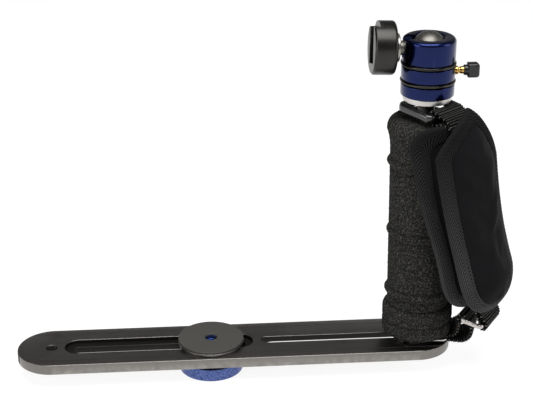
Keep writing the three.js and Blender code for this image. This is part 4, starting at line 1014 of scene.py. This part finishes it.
def even_stations(form, reach, spacing):
    """Stations round a pad, an even distance apart at a reach, and their measures."""
    rough = pad_stations(form, 160, 120)
    rough = np.concatenate([rough, rough[:1]])
    ring, _ = pad_place(form, rough[:, 0] + reach * rough[:, 1], reach * rough[:, 2], np.zeros(len(rough)))
    measure = np.concatenate(([0], np.cumsum(np.linalg.norm(np.diff(ring, axis=0), axis=1))))
    count = int(measure[-1] / spacing)
    wanted = np.linspace(0, measure[-1], count, endpoint=False)
    return np.stack([np.interp(wanted, measure, rough[:, i]) for i in range(3)], axis=1), wanted


def stitch_row():
    """Lays short stitches along a curve, one after another with a small gap."""
    tree, given, result = shape_tree("stitch_row", {"pitch": 2.4 * mm, "thread": 0.22 * mm})
    spots = add_node(tree, "GeometryNodeCurveToPoints",
                     {"Curve": given["Geometry"], "Length": given["pitch"]}, mode="LENGTH")
    bead = add_node(tree, "GeometryNodeMeshUVSphere", {"Segments": 8, "Rings": 6, "Radius": given["thread"]})
    long_share = worked(tree, "DIVIDE", times(tree, given["pitch"], 0.4), given["thread"])
    shape = add_node(tree, "ShaderNodeCombineXYZ", {0: 1.0, 1: 1.0, 2: long_share})
    laid = add_node(tree, "GeometryNodeInstanceOnPoints",
                    {"Points": spots.outputs[0], "Instance": bead.outputs[0],
                     "Rotation": spots.outputs["Rotation"], "Scale": shape.outputs[0]})
    real = add_node(tree, "GeometryNodeRealizeInstances", {"Geometry": laid.outputs[0]})
    return end_shape(tree, given, result, real.outputs[0])


def curve_through(points, closed):
    """A poly curve through points in millimetres."""
    curve = bpy.data.curves.new("route", "CURVE")
    curve.dimensions = "3D"
    spline = curve.splines.new("POLY")
    spline.points.add(len(points) - 1)
    for spot, p in zip(spline.points, points):
        spot.co = (*(np.array(p) * mm), 1.0)
    spline.use_cyclic_u = closed
    return curve


STITCH_ROW = stitch_row()
tape_middle, tape_spacing, stitch_inset, stitch_spacing, stitch_lift = 22.5, 0.38, 1.3, 1.2, 0.02
for label, form, rim, node in (("outer", outer_form, outer_rim, "outer_binding"),
                               ("inner", inner_form, inner_rim, "inner_binding")):
    stations, measure = even_stations(form, tape_middle, tape_spacing)
    reach, height, fold = tape_section(rim)
    rings = [pad_place(form, s[0] + reach * s[1], reach * s[2], height)[0] for s in stations]
    tape = shaped_by(banded_mesh(rings, measure, fold, True), WOVEN_FACE, binding_tape, row=2.2 * mm,
                     yarn=1.15 * mm, height=0.24 * mm, slant=1.0, fold=tape_width / 2 * mm)
    fit_piece(f"{label}_binding_tape", tape, binding_tape, "strap", [node], 80)
    row_reach = pad_half - tape_width + stitch_inset
    edge_stations, _ = even_stations(form, row_reach, stitch_spacing)
    rows = []
    for face in (1, -1):
        spots, _ = pad_place(form, edge_stations[:, 0] + row_reach * edge_stations[:, 1],
                             row_reach * edge_stations[:, 2],
                             np.full(len(edge_stations), face * (tape_half + stitch_lift)))
        rows.append(shaped_by(curve_through(spots, True), STITCH_ROW, sewing_thread))
    shape = bmesh.new()
    for row in rows:
        shape.from_mesh(row)
    joined = bpy.data.meshes.new("stitches")
    shape.to_mesh(joined)
    shape.free()
    fit_piece(f"{label}_pad_stitches", joined, sewing_thread, "strap", [], 80)

# Webbing: black ribbed nylon webbing in three lengths. One goes over the upper ring and in
# between the pads, one joins the lower ring to the steel link, one goes from the link up
# between the pads. Each is doubled back round its bar.

webbing_width, webbing_half, webbing_gap = 21.0, 0.4, 0.3
webbing_outside, webbing_inside = 0.8, 0.3
bend_places = [(-1, -1), (-1, 0.35), (-0.72, 0.9), (0, 1.06), (0.72, 0.9), (1, 0.35), (1, -1)]
link_azimuth, link_turn, link_slope = -23.0, -33.0, 9.0
ring_tilt = 7.5
up_vector = np.array((0.0, 0.0, 1.0))


def heading(degrees):
    """The level direction at an angle seen from above."""
    return np.array((math.cos(math.radians(degrees)), math.sin(math.radians(degrees)), 0.0))


def bend_round(bar, forward, over, bar_forward, bar_over):
    """Places of a bend of webbing round a bar: a leg, the turn and the other leg."""
    reach, rise = (size + webbing_gap + webbing_half for size in (bar_forward, bar_over))
    return [bar + forward * f * reach + over * o * rise for f, o in bend_places]


def spread(start, end, shares):
    """Places between two, at shares of the way along X, Y and Z."""
    return [start + (end - start) * np.array(share) for share in shares]


def between(start, end, count):
    """Even steps from one value to another, without the two ends."""
    return [start + (end - start) * (i + 1) / (count + 1) for i in range(count)]


def webbing_band(points, turns, closed, side, spacing=0.3, columns=60):
    """Webbing through points, its width level and turned as given, thicker on its outer side."""
    points = [np.asarray(p, float) for p in points]
    spans = len(points) if closed else len(points) - 1
    samples, step, flat, flank = 90 * spans, 0.0005, 0.985, 0.45
    shares = np.linspace(0, 1, samples, endpoint=False) if closed else np.linspace(0, 1, samples + 1)
    line = np.array([smooth_place(points, t, closed) for t in shares])
    looped = np.concatenate([line, line[:1]]) if closed else line
    measure = np.concatenate(([0], np.cumsum(np.linalg.norm(np.diff(looped, axis=0), axis=1))))
    count = int(measure[-1] / spacing)
    wanted = np.linspace(0, measure[-1], count + (0 if closed else 1), endpoint=not closed)
    share_of = np.interp(wanted, measure, np.append(shares, 1.0) if closed else shares)
    rings = []
    tops = [(-flat + 2 * flat * j / columns, 1) for j in range(columns + 1)]
    section = [(-1, -flank), (-1, flank), *tops, (1, flank), (1, -flank)]
    section += [(out, -1) for out, _ in tops[::-1]]
    half = webbing_width / 2
    table = np.array(turns + turns[:1] if closed else turns, float)
    for share in share_of:
        at = share * spans
        turn = np.interp(at, np.arange(len(table)), table)
        across = np.array((-math.sin(math.radians(turn)), math.cos(math.radians(turn)), 0.0))
        ahead, behind = (smooth_place(points, near % 1.0 if closed else min(max(near, 0.0), 1.0), closed)
                         for near in (share + step, share - step))
        normal = np.cross(ahead - behind, across)
        normal /= np.linalg.norm(normal)
        here = smooth_place(points, share, closed)
        rings.append(np.array([here + across * out * half
                               + normal * face * (webbing_outside if face * side > 0 else webbing_inside)
                               for out, face in section]))
    acrosses = np.array([out * half for out, _ in section])
    return banded_mesh(rings, wanted, acrosses, closed)


# 1.6 is the painted light low down on the webbing; the last pair keeps painted glints to the crests
webbing_black = woven_finish("webbing_black", (0.12, 0.12, 0.112), (0.0015, 0.0015, 0.0015), 2.0, 1.2,
                             0.45, 1.6, (0.6, 1.3))
handle_axis = np.array((handle_x, 0.0, 0.0))


def to_strap_side(place):
    """A place in the upper strap's own azimuth, turned to where the strap hangs."""
    turn = math.radians(strap_turn)
    return np.array((place[0] * math.cos(turn) - place[1] * math.sin(turn) + handle_x,
                     place[0] * math.sin(turn) + place[1] * math.cos(turn), place[2]))


def level_place(out, height):
    """A place on the strap's middle plane, out from the handle's axis at a height."""
    return np.array((out, drift * (foam_top - height), height))


upper_back, upper_reach, upper_width, upper_thick, upper_height, upper_corner, upper_edge = \
    9.3, 15.2, 15.0, 3.8, 5.0, 4.2, 1.7
upper_middle, upper_half = (upper_reach - upper_back) / 2, (upper_reach + upper_back) / 2
upper_level = foam_top + 5.3
tilt = math.radians(ring_tilt)
bar_out = upper_half - upper_thick / 2
tilted_out = np.array((math.cos(tilt), 0.0, -math.sin(tilt)))
tilted_up = np.array((math.sin(tilt), 0.0, math.cos(tilt)))
upper_bar = np.array((upper_middle, 0.0, upper_level)) + tilted_out * bar_out
lower_ply = foam_reach + 0.13 * stand_off + inner_crown + webbing_gap + webbing_half
upper_ply = lower_ply + 2 * webbing_half + webbing_gap
meet_level, end_level = (foam_top - share * (foam_top - foam_bottom) for share in (0.06, 0.19))
upper_route = [level_place(lower_ply, end_level), level_place(lower_ply, meet_level)]
upper_route += spread(upper_bar, upper_route[1],
                      [(0.95, 0, 0.5), (0.77, 0, 0.22), (0.54, 0, 0.17), (0.3, 0, 0.21)])
upper_route += bend_round(upper_bar, tilted_up, -tilted_out, upper_height / 2, upper_thick / 2)
upper_route += spread(upper_bar, level_place(upper_ply, meet_level),
                      [(0.28, 0, -0.15), (0.52, 0, -0.07), (0.76, 0, 0.12), (0.94, 0, 0.44)])
upper_route += [level_place(upper_ply, meet_level), level_place(upper_ply, end_level)]

lower_bottom, lower_top = span("lower_ring", 2)
lower_level = (lower_bottom + lower_top) / 2
lower_back, lower_reach, lower_width, lower_thick = 8.6, 17.0, 13.5, 3.4
lower_bar = np.array((lower_reach - lower_thick / 2, 0.0, lower_level))
link_out = heading(link_turn)
slope = math.radians(link_slope)
link_forward = link_out * math.cos(slope) - up_vector * math.sin(slope)
link_up = link_out * math.sin(slope) + up_vector * math.cos(slope)
link_distance = foam_reach + 14.8
link_middle = heading(link_azimuth) * link_distance + up_vector * link_level
link_length, link_half, link_wire, link_height = 15.0, 13.2, 2.2, 2.8
link_reach = (link_length - link_wire) / 2
inner_bar, outer_bar = link_middle - link_forward * link_reach, link_middle + link_forward * link_reach
over_shares = [(0.45, 0.14, 0.115), (0.66, 0.38, 0.31), (0.79, 0.66, 0.605), (0.845, 0.906, 0.845)]
under_shares = [(-0.26, -0.03, 0.235), (-0.34, 0.08, 0.475), (-0.24, 0.27, 0.77), (0.07, 0.53, 0.99),
                (0.45, 0.81, 1.067)]
ring_bend = bend_round(lower_bar, up_vector, -heading(0), (lower_top - lower_bottom) / 2, lower_thick / 2)
link_bend = bend_round(inner_bar, link_forward, link_up, link_wire / 2, link_wire / 2)
loop_route = [*ring_bend, *spread(lower_bar, inner_bar, over_shares), *link_bend,
              *spread(inner_bar, lower_bar, under_shares)]
loop_turns = [*[0.0] * len(ring_bend), *between(0.0, link_turn, len(over_shares)),
              *[link_turn] * len(link_bend), *between(link_turn, 0.0, len(under_shares))]


def pad_face(form, share, off):
    """A place over a pad's face near its lower end, measured from the handle's axis."""
    length = form["lengths"][-1]
    placed, _ = pad_place(form, np.array(length * share), np.array(4.0), np.array(off))
    return placed - handle_axis


inner_off = inner_crown + webbing_gap + webbing_half + 0.3
outer_off = -(outer_inside + webbing_gap + webbing_half + 2.2)
inner_end, inner_last = (pad_face(inner_form, share, inner_off) for share in (0.85, 0.95))
outer_end, outer_last = (pad_face(outer_form, share, outer_off) for share in (0.85, 0.95))
lower_bend = bend_round(outer_bar, link_forward, -link_up, link_wire / 2, link_wire / 2)
tail_route = [inner_end, inner_last, *spread(inner_last, outer_bar, [(0.4, 0.4, 0.45), (0.62, 0.85, 0.8)]),
              *lower_bend, *spread(outer_bar, outer_last, [(0.3, 0.3, 0.35), (0.8, 0.62, 0.65)]), outer_last,
              outer_end]
pad_turn = strap_turn + twist_most
tail_turns = [pad_turn, pad_turn, *between(pad_turn, link_turn, 2), *[link_turn] * len(lower_bend),
              *between(link_turn, pad_turn, 2), pad_turn, pad_turn]
upper_places = [to_strap_side(p) for p in upper_route]
for piece_name, route, turns, closed, side, node in (
        ("upper_webbing", upper_places, [strap_turn] * len(upper_places), False, 1, "webbing_upper"),
        ("link_webbing", [p + handle_axis for p in loop_route], loop_turns, True, 1, "webbing_loop"),
        ("lower_webbing", [p + handle_axis for p in tail_route], tail_turns, False, -1, "webbing_lower")):
    woven = shaped_by(webbing_band(route, turns, closed, side), WOVEN_FACE, webbing_black, row=1.5 * mm,
                      yarn=1.05 * mm, height=0.34 * mm, slant=0.0, fold=0.0)
    fit_piece(piece_name, woven, webbing_black, "strap", [node], 80)

# Strap's hardware: a glossy moulded ring round the neck, a flat steel ring under the foam
# round the boss, and a rectangular link of steel wire between the two webbings.


def rounded_frame(half_x, half_y, corner, shift=0.0, turns=12):
    """Points round a rectangle with round corners, about a middle shifted along X."""
    points = []
    for sx, sy, first in ((1, -1, -90), (1, 1, 0), (-1, 1, 90), (-1, -1, 180)):
        middle = (shift + sx * (half_x - corner), sy * (half_y - corner))
        points += arc_of(middle, corner, first, first + 90, turns)
    return points


def frame_ring(outer, inner, height, edge, steps=5):
    """A flat ring between two rounded rectangles, with rounded edges all round."""
    rings = []
    quarter = np.linspace(0, math.pi / 2, steps + 1)
    for outline, side, angles in ((outer, -1, quarter), (inner, 1, quarter[::-1])):
        half_x, half_y, corner, shift = outline
        for a in angles:
            grow = side * edge * (1 - math.cos(a))
            rings.append((rounded_frame(half_x + grow, half_y + grow, max(0.15, corner + grow), shift),
                          height / 2 - edge + edge * math.sin(a)))
    rings += [(outline, -z) for outline, z in rings[::-1]]
    points = [(x, y, z) for outline, z in rings for x, y in outline]
    return mesh_of(points, ring_quads(len(rings), len(rings[0][0]), True))


def seated(mesh, matrix):
    """The mesh moved to its place; the matrix works in millimetres."""
    moved = matrix.copy()
    moved.translation = matrix.translation * mm
    mesh.transform(moved)
    return mesh


ring_plastic = moulded("ring_plastic", (0.008, 0.008, 0.008), (0.005, 0.005, 0.005), 0.2, 900.0, 0.01,
                       Coat_Weight=0.7, Coat_Roughness=0.06)
link_lines_level = 20.0
link_steel = turned_metal("link_steel", (0.62, 0.58, 0.55), (0.42, 0.395, 0.375), 0.26,
                          axis=(handle_x, 0.0, link_lines_level), fineness=300.0, edge_brightening=0.1,
                          bright_edge_color=(0.85, 0.85, 0.85), depth=0.002, blasted=0.3)
upper_ring_mesh = frame_ring((upper_half, upper_width, upper_corner, 0.0),
                             (upper_half - upper_thick, upper_width - upper_thick, 1.2, 0.0),
                             upper_height, upper_edge)
fit_piece("neck_ring", seated(upper_ring_mesh, Matrix.Translation((handle_x, 0, 0))
                              @ Matrix.Rotation(math.radians(strap_turn), 4, "Z")
                              @ Matrix.Translation((upper_middle, 0, upper_level))
                              @ Matrix.Rotation(tilt, 4, "Y")), ring_plastic, "strap", ["upper_ring"],
          60)
lower_half, lower_shift = (lower_reach + lower_back) / 2, (lower_reach - lower_back) / 2
lower_ring_mesh = frame_ring((lower_half, lower_width, 4.4, 0.0), (lower_half - lower_thick, 11.0, 1.0, 0.0),
                             lower_top - lower_bottom, 0.6)
fit_piece("boss_ring", seated(lower_ring_mesh, Matrix.Translation((handle_x + lower_shift, 0, lower_level))),
          link_steel, "strap", ["lower_ring"], 60)
link_mesh = frame_ring((link_length / 2, link_half, 3.4, 0.0),
                       (link_length / 2 - link_wire, link_half - link_wire, 0.8, 0.0), link_height, 1.05)
fit_piece("wire_link", seated(link_mesh, Matrix.Translation(Vector(link_middle + handle_axis))
                              @ Matrix.Rotation(math.radians(link_turn), 4, "Z")
                              @ Matrix.Rotation(slope, 4, "Y")), link_steel, "strap", ["strap_link"],
          60)

# Head's body: a silver base disc, then blue anodised turned pieces parted by black bands
# that stand a little proud. The shell has a round mouth and a notch that lets the stem down.

head_blue = turned_metal("head_blue", (0.005, 0.013, 0.085), (0.003, 0.009, 0.06), 0.25, axis=handle_line,
                         fineness=1600.0, edge_brightening=0.15, bright_edge_color=(0.1, 0.14, 0.4), depth=0.01, Coat_Weight=0.3,
                         Coat_Roughness=0.12)
# painted highlight: the bands' crest edges are brightened in full to a pale colour, standing in for the light
# line along each band
band_black = turned_metal("band_black", (0.04, 0.038, 0.035), (0.03, 0.029, 0.027), 0.22, 1.0,
                          axis=handle_line, edge_brightening=1.0, bright_edge_color=(0.55, 0.52, 0.47))
head_radius, band_radius, base_radius, stud_seat = 14.7, 15.2, 13.3, 3.1
base_bottom, base_top = span("head_base", 2)
fit_piece("head_base_disc", washer(base_radius, stud_bore, base_bottom - 0.2, base_top, handle_x, 0.45),
          plain_aluminium, "handle", ["head_base"])
collar_bottom, collar_top = span("head_collar", 2)
collar = turned([(stud_bore, collar_bottom), (head_radius, collar_bottom), (head_radius, collar_top),
                 (0, collar_top), (0, collar_bottom + stud_seat), (stud_bore, collar_bottom + stud_seat)],
                handle_x, 0.45, steps=4)
fit_piece("collar_ring", collar, head_blue, "head", ["head_collar"])
for band_name, node, inner in (("lower_black_band", "lower_band", 11.0),
                               ("upper_black_band", "upper_band", 9.8)):
    low, high = span(node, 2)
    middle = (low + high) / 2
    profile = [(inner, low), (head_radius - 0.6, low), (head_radius - 0.3, low + 0.1),
               (band_radius - 0.15, low + 0.45), (band_radius, middle - 0.25), (band_radius, middle + 0.25),
               (band_radius - 0.15, high - 0.45), (head_radius - 0.3, high - 0.1),
               (head_radius - 0.6, high), (inner, high)]
    fit_piece(band_name, turned(profile, handle_x, 0.12), band_black, "head", [node], 60)
spigot_bottom, housing_top = span("clamp_housing", 2)
housing_bottom = housing_top - 7.2
lock_level = (span("lock_screw", 2)[0] + span("lock_screw", 2)[1]) / 2


def along_x(mesh, level):
    """A piece turned round Z, laid over to point along X from the handle's axis at a level."""
    return seated(mesh, Matrix.Translation((handle_x, 0, level)) @ Matrix.Rotation(math.pi / 2, 4, "Y"))


spigot_radius, plug_bore, plug_seat = 10.7, 8.3, housing_bottom + 0.5
housing = turned([(0, plug_seat), (0, spigot_bottom), (spigot_radius, spigot_bottom),
                  (spigot_radius, housing_bottom), (head_radius, housing_bottom), (head_radius, housing_top),
                  (plug_bore, housing_top), (plug_bore, plug_seat)], handle_x, 0.35, steps=4)
bore_end, bore_radius, bore_mouth = 5.4, 2.4, head_radius + 0.75
lock_bore = along_x(turned([(0, bore_end), (bore_radius, bore_end), (bore_radius, bore_mouth - past),
                            (bore_radius + past, bore_mouth), (0, bore_mouth)], 0.0, 0), lock_level)
fit_piece("clamp_ring", combined(housing, [lock_bore]), head_blue, "head", ["clamp_housing"])

shell_bottom, shell_top = span("head_shell", 2)
ball_level, ball_radius = shell_bottom + 6.5, 9.5
cavity, mouth, fillet, mouth_edge = ball_radius + 0.3, 8.1, 2.3, 0.9
shell_outer = head_radius - 0.1
mouth_angle = math.degrees(math.atan2(math.sqrt(cavity ** 2 - mouth ** 2), mouth))
shell_profile = [(cavity, shell_bottom), (shell_outer, shell_bottom)]
shell_profile += arc_of((shell_outer - fillet, shell_top - fillet), fillet, 0, 90, 12)
shell_profile += [(mouth + mouth_edge, shell_top), (mouth, shell_top - mouth_edge)]
shell_profile += arc_of((0, ball_level), cavity, mouth_angle - 3, 0, 12)
shell = turned(shell_profile, handle_x, 0.3)
notch_half = 4.7
notch_layers = []
for x in (-head_radius - past, 0.0):
    arc = arc_of((0, ball_level), notch_half, 180, 360, 24)
    ends = [(notch_half, shell_top + past), (-notch_half, shell_top + past)]
    notch_layers.append([(handle_x + x, y, z) for y, z in arc + ends])
ring_size = len(notch_layers[0])
notch_faces = ring_quads(2, ring_size)
notch_faces += [tuple(range(ring_size)), tuple(range(ring_size, 2 * ring_size))]
notch = mesh_of(notch_layers[0] + notch_layers[1], notch_faces)
fit_piece("ball_shell", combined(shell, [notch]), head_blue, "head", ["head_shell"], 30)

# Lock: a brass screw through the clamp ring that squeezes the ball's seat, with a moulded
# black wing pressed on its outer end.

lock_brass = turned_metal("lock_brass", (0.78, 0.5, 0.16), (0.55, 0.33, 0.1), 0.22, fineness=500.0,
                          edge_brightening=0.2, bright_edge_color=(0.9, 0.7, 0.3))
wing_plastic = moulded("wing_plastic", (0.008, 0.008, 0.008), (0.005, 0.005, 0.005), 0.14, 1500.0, 0.01)
screw_start, screw_end = (x - handle_x for x in span("lock_screw", 0))
collar_start = head_radius + 0.3
lock_shank, lock_neck = 2.1, 1.75
lock_outline = [(0, screw_start), (1.3, screw_start), (lock_shank, screw_start + 0.8),
                (lock_shank, collar_start), (2.4, collar_start), (2.4, collar_start + 1.2),
                (2.0, collar_start + 1.3), (lock_neck, collar_start + 1.7), (lock_neck, collar_start + 2.4),
                (lock_shank, collar_start + 2.9), (lock_shank, screw_end), (0, screw_end)]
fit_piece("lock_pin", along_x(turned(lock_outline, 0.0, 0.12, 64), lock_level), lock_brass, "lock",
          ["lock_screw"], 50)
wing_start, wing_end = (x - handle_x for x in span("lock_knob", 0))
wing_half, wing_depth, hub_radius, hub_length = 4.0, 3.0, 2.95, 2.0


def wing_outline(share):
    """The wing's outline at a share of its half depth: a rounded block, thinner at its faces."""
    left, right, corner, small, thinning = wing_start + hub_length, wing_end, 1.7, 0.9, 1.5
    inset = thinning * (1 - math.sqrt(max(0.0, 1 - share ** 6)))
    points = []
    for cx, cz, first, r in ((right - corner, -wing_half + corner, -90, corner),
                             (right - corner, wing_half - corner, 0, corner),
                             (left + small, wing_half - small, 90, small),
                             (left + small, -wing_half + small, 180, small)):
        points += arc_of((cx, cz), max(0.1, r - inset), first, first + 90, 8)
    return points


depths = (-1, -0.97, -0.9, -0.75, -0.5, 0, 0.5, 0.75, 0.9, 0.97, 1)
wing = stacked([(wing_outline(abs(d)), d * wing_depth) for d in depths])
seated(wing, Matrix.Translation((handle_x, 0, lock_level)) @ Matrix.Rotation(math.pi / 2, 4, "X"))
hub_end = wing_start + hub_length + 1.0
hub = along_x(turned([(0, wing_start), (hub_radius - 0.4, wing_start), (hub_radius, wing_start + 0.5),
                      (hub_radius, hub_end), (0, hub_end)], 0.0, 0.3, 64), lock_level)
fit_piece("lock_wing", combined(wing, [hub], "UNION"), wing_plastic, "lock", ["lock_knob"],
          40)

# Ball and stem: a ball of dull ground steel with a turned neck, and a bright flange that the
# shoe sits against. Both lie over to the left in the photograph, 88 degrees from upright.

stem_lean = math.radians(-88.0)
ball_middle = (handle_x, 0.0, ball_level)
stem_matrix = Matrix.Translation(ball_middle) @ Matrix.Rotation(stem_lean, 4, "Y")
ball_steel = turned_metal("ball_steel", (0.2, 0.19, 0.172), (0.15, 0.144, 0.132), 0.42,
                          axis=ball_middle, turn=(0.0, -stem_lean, 0.0), fineness=700.0, edge_brightening=0.0)
neck_radius, neck_length, stud_radius, stud_length, waist_radius = 3.95, 16.6, 2.9, 7.4, 3.7
neck_angle = math.degrees(math.acos(neck_radius / ball_radius))
ball_outline = arc_of((0, 0), ball_radius, -90, neck_angle, 40)
ball_outline += [(waist_radius, 10.4), (waist_radius, 13.6), (neck_radius, 14.2), (neck_radius, neck_length),
                 (stud_radius, neck_length), (stud_radius, neck_length + stud_length),
                 (0, neck_length + stud_length)]
fit_piece("steel_ball", seated(turned(ball_outline, 0.0, 0.2), stem_matrix), ball_steel, "ball", ["ball"],
          30)
flange_start = neck_length + 0.1
flange_steel = turned_metal("flange_steel", (0.42, 0.395, 0.36), (0.31, 0.29, 0.26), 0.3,
                            axis=ball_middle, turn=(0.0, -stem_lean, 0.0), edge_brightening=0.1)
flange_radius, flange_bore, flange_height = 7.8, 2.95, 2.2
flange = washer(flange_radius, flange_bore, flange_start, flange_start + flange_height, 0.0, 0.4)
fit_piece("stem_flange_disc", seated(flange, stem_matrix), flange_steel, "ball", ["stem_flange"])

# Accessory shoe: a round block turned from black anodised aluminium, with a channel milled
# across its face under two lips, open at the top, and a small countersunk fixing screw.

shoe_turn = math.radians(14.0)
shoe_matrix = stem_matrix @ Matrix.Rotation(shoe_turn, 4, "Z")
shoe_back, shoe_radius, shoe_depth = neck_length + 2.4, 14.7, 12.5
lip, channel_height, channel_half, mouth_half, channel_end, mouth_end = 1.3, 1.9, 9.35, 6.3, -10.0, -8.5
recess_radius, recess_depth, stud_depth, screw_bore, stud_clearance = 4.1, 2.1, 5.3, 1.8, 3.2
back_edge, front_edge = 1.8, 0.9
shoe_front = shoe_back + shoe_depth
shoe_floor = shoe_front - lip - channel_height
shoe_profile = [(stud_clearance, shoe_back)]
shoe_profile += arc_of((shoe_radius - back_edge, shoe_back + back_edge), back_edge, -90, 0, 8)
shoe_profile += [(shoe_radius, shoe_front - front_edge), (shoe_radius - front_edge, shoe_front),
                 (recess_radius, shoe_front), (recess_radius, shoe_floor - recess_depth),
                 (screw_bore, shoe_floor - recess_depth), (screw_bore, shoe_back + stud_depth),
                 (stud_clearance, shoe_back + stud_depth)]


def box_cutter(x, y, z):
    """A plain block for milling, between places along X, Y and Z."""
    return stacked([([(x[0], y[0]), (x[1], y[0]), (x[1], y[1]), (x[0], y[1])], h) for h in z])


over_edge = shoe_radius + past
above = shoe_front + past
channel = box_cutter((channel_end, over_edge), (-channel_half, channel_half),
                     (shoe_floor, shoe_floor + channel_height))
mouth_cut = stacked([([(mouth_end - g, -mouth_half - g), (over_edge, -mouth_half - g),
                       (over_edge, mouth_half + g), (mouth_end - g, mouth_half + g)], h)
                     for g, h in ((0, shoe_floor), (0, shoe_front - slot_edge), (slot_edge, shoe_front),
                                  (slot_edge + past, above))])
lip_end = 11.2
lip_cut = box_cutter((lip_end, over_edge), (-over_edge, over_edge), (shoe_floor, above))
shoe_black = turned_metal("shoe_black", (0.062, 0.06, 0.057), (0.028, 0.027, 0.026), 0.32, 1.0,
                          axis=ball_middle, turn=(0.0, -stem_lean, 0.0), fineness=900.0, edge_brightening=0.6,
                          bright_edge_color=(0.5, 0.48, 0.45))
shoe_mesh = combined(turned(shoe_profile, 0.0, 0.25), [channel, mouth_cut, lip_cut])
fit_piece("accessory_shoe", seated(shoe_mesh, shoe_matrix), shoe_black, "shoe", ["shoe_body"],
          25)
screw_top, small_shank, small_head = shoe_floor - 0.2, 1.5, 3.8
small_foot, head_under = screw_top - 3.4, screw_top - 1.6
shoe_screw = turned([(0, small_foot), (small_shank, small_foot), (small_shank, head_under),
                     (small_head, head_under), (small_head, screw_top), (0, screw_top)], 0.0, 0.3, 64)
driver = stacked([([(r * math.cos(a), r * math.sin(a)) for a in six], z)
                  for r, z in ((1.3, screw_top - 1.1), (1.3, screw_top - 0.2), (1.5, screw_top),
                               (2.5, screw_top + past))])
fit_piece("shoe_fixing_screw", seated(combined(shoe_screw, [driver]), shoe_matrix), flange_steel, "shoe",
          ["shoe_screw"])

# Inner pieces that stay as their solids: the guide in the recess, the core tube, the stud
# that joins handle and head, and the plug and cup that press on the ball.

guide_black = moulded("guide_black", (0.035, 0.035, 0.035), (0.02, 0.02, 0.02), 0.5)
for node, finish in (("slot_guide", guide_black), ("core_tube", dark_aluminium), ("head_stud", bright_steel),
                     ("push_plug", plain_aluminium), ("ball_cup", guide_black)):
    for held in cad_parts[node].material_slots:
        held.material = finish

# Studio: a plain white floor that the knob stands on, a wide soft light overhead, softer
# ones at the sides, and the camera where the photographer stood.


def studio_sweep():
    """A white floor that curves up into a low backdrop; it stays white and keeps the shadow."""
    floor_radius, cove, wall, sides, level = 5.0, 0.4, 0.7, 72, -0.0002
    profile = [(0.5, level), (floor_radius - cove, level)]
    profile += [(floor_radius - cove + cove * math.sin(a), level + cove - cove * math.cos(a))
                for a in np.linspace(0, math.pi / 2, 9)[1:]]
    profile += [(floor_radius, wall)]
    turns = np.linspace(0, 2 * math.pi, sides, endpoint=False)
    points = [(r * math.cos(a), r * math.sin(a), z) for r, z in profile for a in turns]
    faces = [tuple(range(sides))] + [(a, d, c, b) for a, b, c, d in ring_quads(len(profile), sides)]
    mesh = bpy.data.meshes.new("sweep")
    mesh.from_pydata(points, [], faces)
    material = bpy.data.materials.new("sweep_white")
    material.use_nodes = True
    tree = material.node_tree
    tree.nodes.clear()
    plain = add_node(tree, "ShaderNodeBsdfDiffuse", {"Color": (0.88, 0.88, 0.88, 1.0)})
    shaded = add_node(tree, "ShaderNodeBsdfDiffuse", {"Color": (0.2, 0.2, 0.2, 1.0)})
    glow = add_node(tree, "ShaderNodeEmission", {"Color": (1.0, 1.0, 1.0, 1.0), "Strength": 0.9})
    seen = add_node(tree, "ShaderNodeAddShader", {0: shaded.outputs[0], 1: glow.outputs[0]})
    path = add_node(tree, "ShaderNodeLightPath")
    mirrored = worked(tree, "MAXIMUM", path.outputs["Is Glossy Ray"], path.outputs["Is Transmission Ray"])
    sharp_rays = worked(tree, "MAXIMUM", path.outputs["Is Camera Ray"], mirrored)
    chosen = add_node(tree, "ShaderNodeMixShader", {0: sharp_rays, 1: plain.outputs[0], 2: seen.outputs[0]})
    add_node(tree, "ShaderNodeOutputMaterial", {"Surface": chosen.outputs[0]})
    mesh.materials.append(material)
    in_scene("studio_sweep", mesh)


def soft_light(name, place, target, width, height, power):
    """A rectangular soft light that looks at a target."""
    lamp = bpy.data.lights.new(name, "AREA")
    lamp.shape, lamp.size, lamp.size_y, lamp.energy = "RECTANGLE", width, height, power
    held = in_scene(name, lamp)
    held.location = place
    held.rotation_euler = (Vector(target) - Vector(place)).to_track_quat("-Z", "Y").to_euler()


studio_sweep()
soft_light("overhead_light", (0.05, -0.25, 1.05), (0.05, -0.05, 0.0), 0.9, 0.7, 11.0)
soft_light("left_light", (-1.0, -0.5, 0.5), (0.05, 0.0, 0.1), 0.6, 0.6, 4.0)
soft_light("right_light", (1.1, -0.3, 0.55), (0.1, 0.0, 0.1), 0.5, 0.7, 3.0)

world = bpy.data.worlds.new("studio")
bpy.context.scene.world = world
world.use_nodes = True
sky = world.node_tree
sky.nodes.clear()
light = add_node(sky, "ShaderNodeBackground", {"Color": (1.0, 1.0, 1.0, 1.0), "Strength": 0.16})
add_node(sky, "ShaderNodeOutputWorld", {"Surface": light.outputs[0]})

camera_data = bpy.data.cameras.new("camera")
sensor_width, lens, camera_down, camera_turn = 36.0, 96.05, 23.302, -4.594
camera_data.sensor_width, camera_data.lens = sensor_width, lens
camera_data.clip_start, camera_data.clip_end = 0.05, 20.0
camera = in_scene("camera", camera_data)
camera.location = (-0.02617, -0.72861, 0.4182)
camera.rotation_euler = (math.radians(90 - camera_down), 0.0, math.radians(camera_turn))
bpy.context.scene.camera = camera
bpy.context.scene.view_settings.view_transform = "Standard"

bpy.context.view_layer.update()
